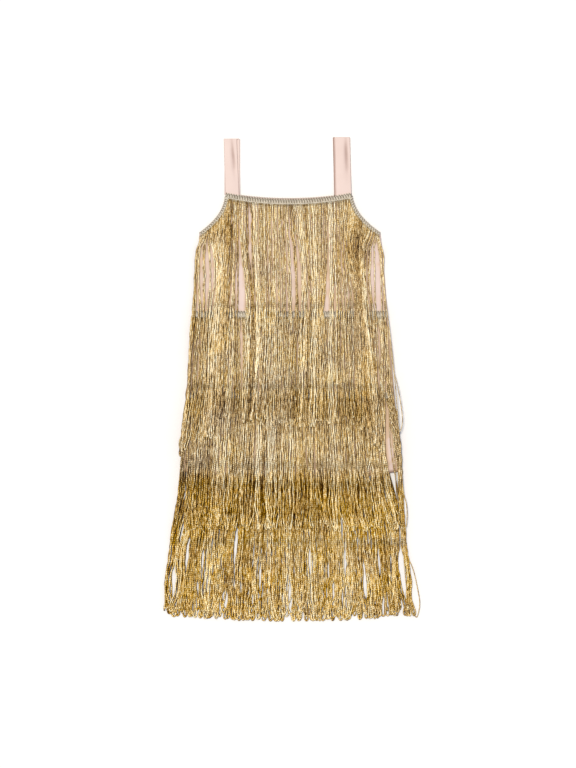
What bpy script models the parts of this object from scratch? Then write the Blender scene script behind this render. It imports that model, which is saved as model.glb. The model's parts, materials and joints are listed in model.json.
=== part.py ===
"""Flapper dress for a small child, laid flat on its back.

A blush shell of two panels hangs from two folded straps. Gimp tape edges the neckline and armholes,
and three tiers of looped cord fringe hang from tapes round the front and the back.

Lengths here are in millimetres, and each mesh is scaled to metres as it is made. X runs across the
dress, +Y towards the shoulders and +Z up from the surface that it lies on. Height means Y, measured
from the middle of the whole dress.
"""
import bpy
import numpy as np
from collections import namedtuple
from math import cos, pi, sin

METRES = 0.001
GAP = 0.3

# Shell: an A-line shape with scooped armholes and a shallow curved neckline
SHELL_THICKNESS = 1.2
NECK_HEIGHT = 297.6
NECK_HALF_WIDTH = 101.6
FRONT_NECK_DIP = 10.4
BACK_NECK_DIP = 8.8
NECK_LEAN = -3.2
LEAN_START = 200.0
UNDERARM_HEIGHT = 234.0
UNDERARM_HALF_WIDTH = 144.5
ARMHOLE_CURVE = 2.1
HEM_CORNER_HEIGHT = -147.2
HEM_HALF_WIDTH = 175.0
FRONT_HEM_DROP = 10.4
BACK_HEM_DROP = 16.0
NECK_COLUMNS = (0.0, 17.0, 34.0, 51.0, 68.0, 85.0)
SHELL_COLUMNS = NECK_COLUMNS + (NECK_HALF_WIDTH, 103.0, 107.0, 114.0, 124.0, 134.0, UNDERARM_HALF_WIDTH)

# Gimp tapes
TAPE_THICKNESS = 1.5
NECK_TAPE_WIDTH = 10.0
ARMHOLE_TAPE_WIDTH = 6.0
TIER_TAPE_WIDTH = 11.2
ARMHOLE_STEPS = 9
TAPE_SIDE_MARGIN = 1.0

# Fringe: each tier is a wall over the reach of its cords, which splay towards their ends.
# end is the height of a tier's lowest cords, and end_rise is how much higher its outermost ones stop.
FRINGE_THICKNESS = 2.4
CORD_LENGTH = 355.0
Tier = namedtuple("Tier", "tape_top end end_rise left_at_top right_at_top left_at_end right_at_end")
TIERS = {
    1: Tier(NECK_HEIGHT, -129.0, 0.0, -146.0, 144.0, -181.0, 177.0),
    2: Tier(108.8, -252.0, 5.0, -155.0, 155.0, -197.0, 187.0),
    3: Tier(-20.8, -387.0, 9.0, -165.0, 165.0, -208.5, 208.5),
}
TIER_1_COLUMNS = NECK_COLUMNS + (95.0, 97.0, 101.0, 107.0, 115.0, 125.0, 135.0, 145.0)
TIER_COLUMNS = (0.0, 45.0, 90.0, 135.0, 180.0)

# Straps: one band each, folded flat at the shoulder, with the edges of its front and back runs.
# A soft crease runs down the front run, which crowns along it.
STRAP_GAP = 0.3
STRAP_COLUMNS = 7
STRAP_CROWN = 0.8
STRAP_FOLD_STEPS = 8
STRAP_RUN_ROWS = 3
STRAP_SETTLE_START = 301.0
STRAP_SETTLE_LENGTH = 32.0
Strap = namedtuple("Strap", "fold_height front_base front_fold back_fold back_base")
STRAPS = {
    "left": Strap(384.5, (-104.2, -82.1), (-106.6, -85.9), (-105.4, -80.8), (-105.4, -80.8)),
    "right": Strap(387.0, (72.8, 97.4), (70.6, 95.2), (67.8, 92.4), (70.0, 94.6)),
}

# Layers: cloth climbs onto a layer under it over this length, and stays this far from its edge
CLIMB = 12.0
EDGE_CLEARANCE = 2.5
FAR = 1000.0

Layer = namedtuple("Layer", "low high thickness")
LAYERS = {
    "fringe_1_back": Layer(TIERS[1].end, FAR, FRINGE_THICKNESS),
    "fringe_2_back": Layer(TIERS[2].end, TIERS[2].tape_top, FRINGE_THICKNESS),
    "fringe_3_back": Layer(-FAR, TIERS[3].tape_top, FRINGE_THICKNESS),
    "panel_back": Layer(HEM_CORNER_HEIGHT - BACK_HEM_DROP, FAR, SHELL_THICKNESS),
    "panel_front": Layer(HEM_CORNER_HEIGHT - FRONT_HEM_DROP, FAR, SHELL_THICKNESS),
    "fringe_3_front": Layer(-FAR, TIERS[3].tape_top, FRINGE_THICKNESS),
    "fringe_2_front": Layer(TIERS[2].end, TIERS[2].tape_top, FRINGE_THICKNESS),
    "fringe_1_front": Layer(TIERS[1].end, FAR, FRINGE_THICKNESS),
}
LAYER_ORDER = list(LAYERS)


def layers_under(name):
    """The layers between the surface and this one, from the lowest up."""
    return [LAYERS[lower] for lower in LAYER_ORDER[:LAYER_ORDER.index(name)]]


def lift(layer, height):
    """How much a layer raises what lies on it at a height: all of it over the layer, none beyond."""
    above_low = (height - (layer.low - EDGE_CLEARANCE - CLIMB)) / CLIMB
    below_high = (layer.high + EDGE_CLEARANCE + CLIMB - height) / CLIMB
    share = np.clip(np.minimum(above_low, below_high), 0.0, 1.0)
    return share * (layer.thickness + GAP)


def underside(name, height):
    """Height above the surface of a layer's lower face: the sum of what lies under it."""
    return sum((lift(layer, height) for layer in layers_under(name)), np.zeros_like(height))


def stations(name, low, high):
    """Heights between two limits where a layer starts or stops climbing."""
    breaks = set()
    for layer in layers_under(name):
        for edge, direction in ((layer.low, -1), (layer.high, 1)):
            breaks.add(edge + direction * EDGE_CLEARANCE)
            breaks.add(edge + direction * (EDGE_CLEARANCE + CLIMB))
    return sorted(y for y in breaks if low < y < high)


def lean(height):
    """Sideways shift of the upper part of the dress, which lies slightly askew."""
    return NECK_LEAN * np.clip((height - LEAN_START) / (NECK_HEIGHT - LEAN_START), 0.0, 1.0)


def neckline(x, dip):
    """Height of the neckline: a parabola between its corners."""
    return NECK_HEIGHT - dip * (1.0 - np.clip(np.abs(x) / NECK_HALF_WIDTH, 0.0, 1.0) ** 2)


def armhole(depth):
    """Half width and height of the armhole's edge at a depth below the neck's corner."""
    full_depth = NECK_HEIGHT - UNDERARM_HEIGHT
    flare = UNDERARM_HALF_WIDTH - NECK_HALF_WIDTH
    half_width = NECK_HALF_WIDTH + flare * (depth / full_depth) ** ARMHOLE_CURVE
    return half_width, NECK_HEIGHT - depth


def armhole_inset(depth, distance):
    """The armhole's edge moved into the cloth by a distance, along its own normal."""
    step = 0.5
    half_width, height = armhole(depth)
    next_half_width, next_height = armhole(depth + step)
    across = next_half_width - half_width
    down = next_height - height
    length = np.hypot(across, down)
    return half_width + distance * down / length, height - distance * across / length


def armhole_depths(start):
    """Depths of the sections of an armhole's edge, from a start to the underarm."""
    return np.linspace(start, NECK_HEIGHT - UNDERARM_HEIGHT, ARMHOLE_STEPS)


def panel_top(x, dip):
    """Top edge of a panel: the neckline between the corners, and the armholes outside them."""
    half_width, height = armhole(np.linspace(0.0, NECK_HEIGHT - UNDERARM_HEIGHT, 4 * ARMHOLE_STEPS))
    scoop = np.interp(np.abs(x), half_width, height)
    return np.where(np.abs(x) <= NECK_HALF_WIDTH, neckline(x, dip), scoop)


def fringe_heading(x, dip):
    """Top edge of tier 1: the lower edges of the neck tape and the armhole tapes."""
    under_tape = neckline(x, dip) - NECK_TAPE_WIDTH - GAP
    beyond_underarm = 6.0
    depths = np.linspace(0.0, NECK_HEIGHT - UNDERARM_HEIGHT + beyond_underarm, 4 * ARMHOLE_STEPS)
    half_width, height = armhole_inset(depths, ARMHOLE_TAPE_WIDTH + 2.0 * GAP)
    return np.minimum(under_tape, np.interp(np.abs(x), half_width, height))


def side_seam(height):
    """Half width of the shell at a height: a straight A-line from underarm to hem."""
    share = (UNDERARM_HEIGHT - height) / (UNDERARM_HEIGHT - HEM_CORNER_HEIGHT)
    return UNDERARM_HALF_WIDTH + share * (HEM_HALF_WIDTH - UNDERARM_HALF_WIDTH)


def mirrored(positions):
    """Column positions on both sides of the middle, as shares of the outermost one."""
    right = np.array(positions) / positions[-1]
    return np.concatenate([-right[:0:-1], right])


def grid_faces(rows, columns):
    """Quads of the closed slab whose lower and then upper vertices lie on the same grid."""
    index = np.arange(rows * columns).reshape(rows, columns)
    corners = (index[:-1, :-1], index[:-1, 1:], index[1:, 1:], index[1:, :-1])
    upper = np.stack(corners, axis=-1).reshape(-1, 4)
    rim = np.concatenate([index[0, :-1], index[:-1, -1], index[-1, :0:-1], index[:0:-1, 0]])
    after = np.roll(rim, -1)
    count = rows * columns
    sides = np.stack([rim, after, after + count, rim + count], axis=-1)
    return np.concatenate([upper[:, ::-1], upper + count, sides]).tolist()


def make_material(name, colour, roughness, metallic):
    """A plain material with one colour and finish."""
    material = bpy.data.materials.new(name)
    material.use_nodes = True
    shader = material.node_tree.nodes["Principled BSDF"]
    shader.inputs["Base Color"].default_value = (*colour, 1.0)
    shader.inputs["Roughness"].default_value = roughness
    shader.inputs["Metallic"].default_value = metallic
    return material


def make_slab(name, lower, upper, material):
    """A closed wall between two grids of points, given as arrays of rows, columns and xyz."""
    mesh = bpy.data.meshes.new(name)
    points = np.concatenate([lower.reshape(-1, 3), upper.reshape(-1, 3)]) * METRES
    mesh.from_pydata(points.tolist(), [], grid_faces(*lower.shape[:2]))
    mesh.materials.append(material)
    bpy.context.scene.collection.objects.link(bpy.data.objects.new(name, mesh))


def make_flat_slab(name, x, y, bottom, thickness, material):
    """A wall of even thickness whose lower face lies at the given height over each point."""
    lower = np.stack([x + lean(y), y, bottom], axis=-1)
    make_slab(name, lower, lower + np.array([0.0, 0.0, thickness]), material)


def lay_rows(shares, left, right, bottom_edge, heights, top_edge, top_rows):
    """Points of a laid piece: its bottom edge, straight rows at heights, then rows up to its top.

    left and right give the sides at a height, and the edges give a height for an x.
    """
    def across(height):
        return left(height) + (shares + 1.0) / 2.0 * (right(height) - left(height))

    lowest = across(bottom_edge(0.0))
    rows = [(lowest, bottom_edge(lowest))]
    rows += [(across(height), np.full_like(shares, height)) for height in heights]
    straight_x, straight_y = rows[-1]
    top_x = across(top_edge(right(heights[-1])))
    for row in range(1, top_rows + 1):
        share = row / top_rows
        x = straight_x + share * (top_x - straight_x)
        y = straight_y + share * (top_edge(top_x) - straight_y)
        rows.append((x, y))
    return np.array([row[0] for row in rows]), np.array([row[1] for row in rows])


def make_panel(side, dip, hem_drop, material):
    """The front or back of the shell, from its curved hem to its neckline and armholes."""
    name = f"panel_{side}"
    heights = stations(name, HEM_CORNER_HEIGHT, LEAN_START) + [LEAN_START]
    x, y = lay_rows(
        mirrored(SHELL_COLUMNS),
        lambda height: -side_seam(height),
        side_seam,
        lambda x: HEM_CORNER_HEIGHT - hem_drop * (1.0 - (x / HEM_HALF_WIDTH) ** 2),
        heights,
        lambda x: panel_top(x, dip),
        3,
    )
    make_flat_slab(name, x, y, underside(name, y), SHELL_THICKNESS, material)


def make_fringe(number, side, dip, material):
    """One tier of fringe, from just below its tape to the ends of its cords."""
    name = f"fringe_{number}_{side}"
    tier = TIERS[number]
    if number == 1:
        top = UNDERARM_HEIGHT
        columns = TIER_1_COLUMNS
        top_edge = lambda x: fringe_heading(x, dip)
        straight_top = LEAN_START
        top_rows = 3
    else:
        top = tier.tape_top - TIER_TAPE_WIDTH - GAP
        columns = TIER_COLUMNS
        top_edge = lambda x: np.full_like(x, top)
        straight_top = top - CLIMB
        top_rows = 1

    def splay(at_top, at_end):
        return lambda height: at_top + (top - height) / (top - tier.end) * (at_end - at_top)

    def bottom_edge(x):
        if number == 1:
            heading_x = x * tier.right_at_top / tier.right_at_end
            return np.maximum(fringe_heading(heading_x, dip) - CORD_LENGTH, tier.end)
        return tier.end + tier.end_rise * (x / tier.right_at_end) ** 2

    lowest_row = float(bottom_edge(0.0)) + EDGE_CLEARANCE + CLIMB
    heights = [lowest_row] + stations(name, lowest_row, straight_top) + [straight_top]
    x, y = lay_rows(
        mirrored(columns),
        splay(tier.left_at_top, tier.left_at_end),
        splay(tier.right_at_top, tier.right_at_end),
        bottom_edge,
        heights,
        top_edge,
        top_rows,
    )
    make_flat_slab(name, x, y, underside(name, y), FRINGE_THICKNESS, material)


def tape_bottom(side, height):
    """Height above the surface of a tape's lower face: sewn on the face of its panel."""
    if side == "front":
        return underside("panel_front", height) + SHELL_THICKNESS + GAP
    return underside("panel_back", height) - GAP - TAPE_THICKNESS


def make_neck_tape(side, dip, material):
    """The tape along the neckline, between the tapes of the armholes."""
    half_width = NECK_HALF_WIDTH - GAP
    across = np.linspace(-half_width, half_width, 13)
    x = np.stack([across, across])
    y = np.stack([neckline(across, dip) - NECK_TAPE_WIDTH, neckline(across, dip) - GAP])
    make_flat_slab(f"neck_tape_{side}", x, y, tape_bottom(side, y), TAPE_THICKNESS, material)


def make_armhole_tape(hand, side, material):
    """The tape down one armhole, from below the neck tape to the underarm."""
    depths = armhole_depths(NECK_TAPE_WIDTH + GAP)
    edge_x, edge_y = armhole_inset(depths, GAP)
    inner_x, inner_y = armhole_inset(depths, ARMHOLE_TAPE_WIDTH)
    sign = 1 if hand == "right" else -1
    x = np.stack([inner_x, edge_x]) * sign
    y = np.stack([inner_y, edge_y])
    if hand == "left":
        x = x[::-1]
        y = y[::-1]
    name = f"armhole_tape_{hand}_{side}"
    make_flat_slab(name, x, y, tape_bottom(side, y), TAPE_THICKNESS, material)


def make_tier_tape(number, side, material):
    """The straight tape that heads a lower tier, from side seam to side seam."""
    top = TIERS[number].tape_top
    heights = np.array([top - TIER_TAPE_WIDTH, top])
    half_width = side_seam(heights) - TAPE_SIDE_MARGIN
    shares = np.linspace(-1.0, 1.0, 5)
    x = half_width[:, None] * shares
    y = np.repeat(heights[:, None], len(shares), axis=1)
    name = f"tier_{number}_tape_{side}"
    make_flat_slab(name, x, y, tape_bottom(side, y), TAPE_THICKNESS, material)


def strap_drop(height):
    """Height above the surface of a strap's back run: level with the back panel, then settling."""
    start = underside("panel_back", np.array(NECK_HEIGHT))
    share = np.clip((height - STRAP_SETTLE_START) / STRAP_SETTLE_LENGTH, 0.0, 1.0)
    return start * (1.0 - share)


def strap_sections(strap):
    """Sections along a strap: edges, height, lower and upper face, and how far towards the fold.

    The back run goes up from the back neckline, round the fold, and down to the front neckline.
    """
    half = SHELL_THICKNESS / 2.0
    turn_radius = (SHELL_THICKNESS + STRAP_GAP) / 2.0
    turn_height = strap.fold_height - turn_radius - half
    run_heights = [
        NECK_HEIGHT,
        STRAP_SETTLE_START,
        STRAP_SETTLE_START + STRAP_SETTLE_LENGTH,
        turn_height,
    ]
    sections = []
    for height in run_heights:
        share = (height - NECK_HEIGHT) / (turn_height - NECK_HEIGHT)
        edges = blend(strap.back_base, strap.back_fold, share)
        level = float(strap_drop(height))
        sections.append((edges, (height, level), (height, level + SHELL_THICKNESS)))
    for step in range(1, STRAP_FOLD_STEPS):
        share = step / STRAP_FOLD_STEPS
        edges = blend(strap.back_fold, strap.front_fold, share)
        turn = pi * share
        centre = half + turn_radius
        outer = (turn_height + (turn_radius + half) * sin(turn), centre - (turn_radius + half) * cos(turn))
        inner = (turn_height + (turn_radius - half) * sin(turn), centre - (turn_radius - half) * cos(turn))
        sections.append((edges, outer, inner))
    for height in reversed(run_heights):
        share = (height - NECK_HEIGHT) / (turn_height - NECK_HEIGHT)
        edges = blend(strap.front_base, strap.front_fold, share)
        level = float(strap_drop(height)) + SHELL_THICKNESS + STRAP_GAP
        sections.append((edges, (height, level + SHELL_THICKNESS), (height, level)))
    return sections


def blend(start, end, share):
    """A pair of numbers between two pairs."""
    return tuple(a + share * (b - a) for a, b in zip(start, end))


def make_strap(hand, material):
    """A strap: one band from the back neckline, folded at the shoulder, to the front neckline."""
    sections = strap_sections(STRAPS[hand])
    x = np.array([np.linspace(edges[0], edges[1], STRAP_COLUMNS) for edges, _, _ in sections])
    outer = np.zeros(x.shape + (3,))
    inner = np.zeros(x.shape + (3,))
    for row, (_, outside, inside) in enumerate(sections):
        outer[row, :, 1:] = outside
        inner[row, :, 1:] = inside
    for row, dip in ((0, BACK_NECK_DIP), (-1, FRONT_NECK_DIP)):
        base = neckline(x[row] - NECK_LEAN, dip) + GAP
        outer[row, :, 1] = base
        inner[row, :, 1] = base
    outer[:, :, 0] = x
    inner[:, :, 0] = x
    front_rows = slice(-STRAP_RUN_ROWS, None)
    crown = STRAP_CROWN * (1.0 - np.linspace(-1.0, 1.0, STRAP_COLUMNS) ** 2)
    outer[front_rows, :, 2] += crown
    inner[front_rows, :, 2] += crown
    make_slab(f"strap_{hand}", outer, inner, material)


def main():
    for old in list(bpy.data.objects):
        bpy.data.objects.remove(old)
    blush_cloth = make_material("blush_cloth", (0.88, 0.72, 0.66), 0.55, 0.0)
    gimp_tape = make_material("gimp_tape", (0.55, 0.49, 0.39), 0.45, 0.6)
    gold_cord = make_material("gold_cord", (0.50, 0.34, 0.18), 0.40, 0.8)
    for side, dip, hem_drop in (
        ("back", BACK_NECK_DIP, BACK_HEM_DROP),
        ("front", FRONT_NECK_DIP, FRONT_HEM_DROP),
    ):
        make_panel(side, dip, hem_drop, blush_cloth)
        make_neck_tape(side, dip, gimp_tape)
        for hand in STRAPS:
            make_armhole_tape(hand, side, gimp_tape)
        for number in TIERS:
            if number > 1:
                make_tier_tape(number, side, gimp_tape)
            make_fringe(number, side, dip, gold_cord)
    for hand in STRAPS:
        make_strap(hand, blush_cloth)


main()
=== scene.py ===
"""Finished look of a child's flapper dress, laid flat on its back.

The dress has a blush shell, two folded straps, gimp tapes and three tiers of looped gold cord fringe.
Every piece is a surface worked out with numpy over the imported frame. Lengths are in metres: X runs
across the dress, +Y towards the shoulders and +Z up from the surface that it lies on.
"""

import json
from collections import namedtuple

import bpy
import numpy as np
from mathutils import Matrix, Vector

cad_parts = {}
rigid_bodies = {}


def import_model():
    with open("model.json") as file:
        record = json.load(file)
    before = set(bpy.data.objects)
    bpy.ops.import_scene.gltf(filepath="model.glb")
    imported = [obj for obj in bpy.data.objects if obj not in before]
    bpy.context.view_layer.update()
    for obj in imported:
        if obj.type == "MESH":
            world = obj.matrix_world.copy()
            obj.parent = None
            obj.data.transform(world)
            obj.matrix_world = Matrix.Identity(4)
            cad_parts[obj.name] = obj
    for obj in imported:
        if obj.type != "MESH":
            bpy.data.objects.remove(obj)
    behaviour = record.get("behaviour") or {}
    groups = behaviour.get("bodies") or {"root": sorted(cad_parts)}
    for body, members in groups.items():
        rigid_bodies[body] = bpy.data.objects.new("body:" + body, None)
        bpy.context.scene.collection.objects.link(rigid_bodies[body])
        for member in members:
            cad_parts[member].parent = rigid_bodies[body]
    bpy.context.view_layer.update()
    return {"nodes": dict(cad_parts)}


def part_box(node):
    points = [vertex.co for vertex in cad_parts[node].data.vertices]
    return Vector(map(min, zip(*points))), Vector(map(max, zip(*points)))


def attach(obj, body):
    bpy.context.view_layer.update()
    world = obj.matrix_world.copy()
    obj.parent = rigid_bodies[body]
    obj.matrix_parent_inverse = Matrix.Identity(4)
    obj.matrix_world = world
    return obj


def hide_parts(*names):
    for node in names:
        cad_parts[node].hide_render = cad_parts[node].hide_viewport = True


bl_info = {
    "name": "Flapper Dress",
    "version": (1, 0, 0),
    "blender": (4, 5, 0),
    "location": "3D View > Sidebar > Dress",
    "description": "Makes a fringed dress laid flat, piece by piece",
    "category": "Object",
}

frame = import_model()

MM = 0.001
BODY = "root"
SIDES = ("front", "back")
HANDS = ("left", "right")
TIERS = (1, 2, 3)


def ease(share):
    """A share of 0 to 1 with soft ends: three times its square less twice its cube."""
    return share * share * (3.0 - 2.0 * share)


def bell(x, width):
    """A bell curve: 1 in the middle and 1/e at the width."""
    return np.exp(-((x / width) ** 2))


# ---------------------------------------------------------------- Sizes read from the frame


def node_points(node):
    """The points of a CAD node's mesh, as an array of xyz rows."""
    mesh = frame["nodes"][node].data
    points = np.empty(len(mesh.vertices) * 3)
    mesh.vertices.foreach_get("co", points)
    return points.reshape(-1, 3)


def low(node, axis):
    """A node's lowest coordinate along an axis."""
    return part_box(node)[0][axis]


def high(node, axis):
    """A node's highest coordinate along an axis."""
    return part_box(node)[1][axis]


def face_profile(node, lower):
    """Height of a laid slab's lower or upper face as a function of y: linear between its rows."""
    points = node_points(node)
    rows = np.round(points[:, 1], 5)
    order = np.unique(rows)
    pick = np.min if lower else np.max
    heights = np.array([pick(points[rows == row, 2]) for row in order])

    def at(y):
        """The face's height at y."""
        return np.interp(y, order, heights)

    return at


# The shell's cut: a shallow neckline, scooped armholes and an A-line to the hem
NECK_HEIGHT = high("panel_front", 1)
NECK_HALF_WIDTH = 101.6 * MM
NECK_DIP = {"front": 10.4 * MM, "back": 8.8 * MM}
NECK_LEAN = -3.2 * MM
LEAN_START = 200.0 * MM
UNDERARM_HEIGHT = 234.0 * MM
UNDERARM_HALF_WIDTH = 144.5 * MM
ARMHOLE_CURVE = 2.1
HEM_CORNER_HEIGHT = -147.2 * MM
HEM_HALF_WIDTH = high("panel_front", 0)
HEM_DROP = {side: HEM_CORNER_HEIGHT - low(f"panel_{side}", 1) for side in SIDES}
NECK_TAPE_WIDTH = 10.0 * MM
ARMHOLE_TAPE_WIDTH = 6.0 * MM

# The fringe's reach: the length of its cords, and the height and the sides of each tier's heading
CORD_LENGTH = 355.0 * MM
TIER_TOP = {tier: high(f"fringe_{tier}_front", 1) for tier in TIERS}
TIER_SIDES = {1: (-146.0 * MM, 144.0 * MM), 2: (-155.0 * MM, 155.0 * MM), 3: (-165.0 * MM, 165.0 * MM)}

# A cord's section: its sides, and how much it swells and thins along its length as a share of its radius
CORD_SIDES = 5
CORD_SWELL = 0.05


def side_seam(y):
    """Half width of the shell at a height: a straight A-line from underarm to hem."""
    share = (UNDERARM_HEIGHT - y) / (UNDERARM_HEIGHT - HEM_CORNER_HEIGHT)
    return UNDERARM_HALF_WIDTH + share * (HEM_HALF_WIDTH - UNDERARM_HALF_WIDTH)


def lean(y):
    """Sideways shift of the upper part of the dress, growing evenly from chest to neckline."""
    return NECK_LEAN * np.clip((y - LEAN_START) / (NECK_HEIGHT - LEAN_START), 0.0, 1.0)


def neckline(x, side):
    """Height of the neckline before the lean: a parabola between its corners."""
    return NECK_HEIGHT - NECK_DIP[side] * (1.0 - np.clip(np.abs(x) / NECK_HALF_WIDTH, 0.0, 1.0) ** 2)


def armhole(depth):
    """Half width and height of an armhole's edge at a depth below the neck's corner: a power curve."""
    flare = UNDERARM_HALF_WIDTH - NECK_HALF_WIDTH
    full_depth = NECK_HEIGHT - UNDERARM_HEIGHT
    return NECK_HALF_WIDTH + flare * (depth / full_depth) ** ARMHOLE_CURVE, NECK_HEIGHT - depth


def armhole_inset(depth, distance):
    """The armhole's edge moved into the cloth along its own normal."""
    step = 0.5 * MM
    x, y = armhole(depth)
    next_x, next_y = armhole(depth + step)
    length = np.hypot(next_x - x, next_y - y)
    return x + distance * (next_y - y) / length, y - distance * (next_x - x) / length


def panel_top(x, side):
    """Top edge of a panel before the lean: neckline between the corners, armholes outside them."""
    edge_x, edge_y = armhole(np.linspace(0.0, NECK_HEIGHT - UNDERARM_HEIGHT, 80))
    return np.where(np.abs(x) <= NECK_HALF_WIDTH, neckline(x, side), np.interp(np.abs(x), edge_x, edge_y))


def tier_1_heading(x, side):
    """Height where tier 1's cords start: the lower edge of the neck and armhole tapes."""
    depth = np.linspace(0.0, NECK_HEIGHT - UNDERARM_HEIGHT + 8.0 * MM, 80)
    edge_x, edge_y = armhole_inset(depth, ARMHOLE_TAPE_WIDTH)
    return np.minimum(neckline(x, side) - NECK_TAPE_WIDTH, np.interp(np.abs(x), edge_x, edge_y))


def shell_cover(x, y):
    """How far the shell holds the front's cords up: 1 over it, falling to 0 just outside its sides."""
    fall = 14.0 * MM
    return 1.0 - ease(np.clip((np.abs(x) - side_seam(y)) / fall, 0.0, 1.0))


# ---------------------------------------------------------------- Meshes from arrays


def make_object(name, points, face_sets, material, uv=None, tone=None, smooth=True):
    """A mesh object from an array of points and arrays of faces, with optional corner UVs and tones.

    face_sets is a list of integer arrays, one row for each face. uv is an array with a pair for each
    corner in the same order, and tone has a number for each point.
    """
    mesh = bpy.data.meshes.new(name)
    corners = np.concatenate([faces.ravel() for faces in face_sets]).astype(np.int32)
    sizes = np.concatenate([np.full(len(faces), faces.shape[1]) for faces in face_sets])
    starts = np.concatenate([[0], np.cumsum(sizes)[:-1]]).astype(np.int32)
    mesh.vertices.add(len(points))
    mesh.vertices.foreach_set("co", np.ascontiguousarray(points, dtype=np.float32).ravel())
    mesh.loops.add(len(corners))
    mesh.loops.foreach_set("vertex_index", corners)
    mesh.polygons.add(len(starts))
    mesh.polygons.foreach_set("loop_start", starts)
    mesh.polygons.foreach_set("use_smooth", np.full(len(starts), smooth))
    mesh.update(calc_edges=True)
    if uv is not None:
        layer = mesh.uv_layers.new(name="along")
        layer.uv.foreach_set("vector", np.ascontiguousarray(uv, dtype=np.float32).ravel())
    if tone is not None:
        attribute = mesh.attributes.new("tone", "FLOAT", "POINT")
        attribute.data.foreach_set("value", np.ascontiguousarray(tone, dtype=np.float32).ravel())
    mesh.materials.append(material)
    piece = bpy.data.objects.new(name, mesh)
    bpy.context.scene.collection.objects.link(piece)
    return piece


def grid_quads(rows, columns, start=0):
    """Quads over a grid of points stored row by row."""
    index = start + np.arange(rows * columns).reshape(rows, columns)
    return np.stack([index[:-1, :-1], index[:-1, 1:], index[1:, 1:], index[1:, :-1]], axis=-1).reshape(-1, 4)


def slab(points, normals, thickness):
    """Points and quads of a closed thin wall over a grid, moved half its thickness each way."""
    rows, columns = points.shape[:2]
    upper = points + normals * thickness / 2.0
    lower = points - normals * thickness / 2.0
    count = rows * columns
    index = np.arange(count).reshape(rows, columns)
    rim = np.concatenate([index[0, :-1], index[:-1, -1], index[-1, :0:-1], index[:0:-1, 0]])
    after = np.roll(rim, -1)
    quads = grid_quads(rows, columns)
    edge = np.stack([rim + count, after + count, after, rim], axis=-1)
    faces = np.concatenate([quads, quads[:, ::-1] + count, edge])
    return np.concatenate([upper.reshape(-1, 3), lower.reshape(-1, 3)]), faces


def surface_normals(points):
    """Unit normals of a grid of points: the cross product of its two directions."""
    along = np.gradient(points, axis=0)
    across = np.gradient(points, axis=1)
    normal = np.cross(across, along)
    return normal / np.linalg.norm(normal, axis=-1, keepdims=True)


def tubes(paths, radius, sides):
    """Points, quads, end caps and corner UVs of tubes of changing radius along many paths at once.

    paths is an array of tube, sample and xyz, and radius one of tube and sample. Each ring lies across
    the path, on the level direction across it and the one that stands on both. U goes once round each
    tube and on to the next whole number for the next one, and V is the distance along in metres.
    """
    count, samples = paths.shape[:2]
    tangent = np.gradient(paths, axis=1)
    tangent /= np.linalg.norm(tangent, axis=-1, keepdims=True)
    level = np.cross(tangent, [0.0, 0.0, 1.0])
    level /= np.linalg.norm(level, axis=-1, keepdims=True)
    rise = np.cross(level, tangent)
    angle = 2.0 * np.pi * (np.arange(sides) + 0.5) / sides
    around = level[:, :, None, :] * np.cos(angle)[:, None] + rise[:, :, None, :] * np.sin(angle)[:, None]
    points = paths[:, :, None, :] + radius[:, :, None, None] * around
    index = np.arange(count * samples * sides).reshape(count, samples, sides)
    after = np.roll(index, -1, axis=2)
    quads = np.stack([index[:, :-1], index[:, 1:], after[:, 1:], after[:, :-1]], axis=-1).reshape(-1, 4)
    caps = np.concatenate([index[:, 0], index[:, -1, ::-1]])
    steps = np.linalg.norm(np.diff(paths, axis=1), axis=-1)
    distance = np.concatenate([np.zeros((count, 1)), np.cumsum(steps, axis=1)], axis=1)
    shape = (count, samples - 1, sides)
    here = np.broadcast_to(distance[:, :-1, None], shape)
    there = np.broadcast_to(distance[:, 1:, None], shape)
    turn = np.broadcast_to(np.arange(count)[:, None, None] + np.arange(sides) / sides, shape)
    next_turn = turn + 1.0 / sides
    quad_uv = np.stack([turn, here, turn, there, next_turn, there, next_turn, here], axis=-1).reshape(-1, 2)
    cap_uv = np.zeros((caps.size, 2))
    return points.reshape(-1, 3), [quads, caps], np.concatenate([quad_uv, cap_uv])


def settle(piece, slot, *nodes):
    """Puts a finished piece on the body, in place of its CAD nodes, which it hides."""
    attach(piece, BODY)
    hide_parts(*nodes)


# ---------------------------------------------------------------- Materials


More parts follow.
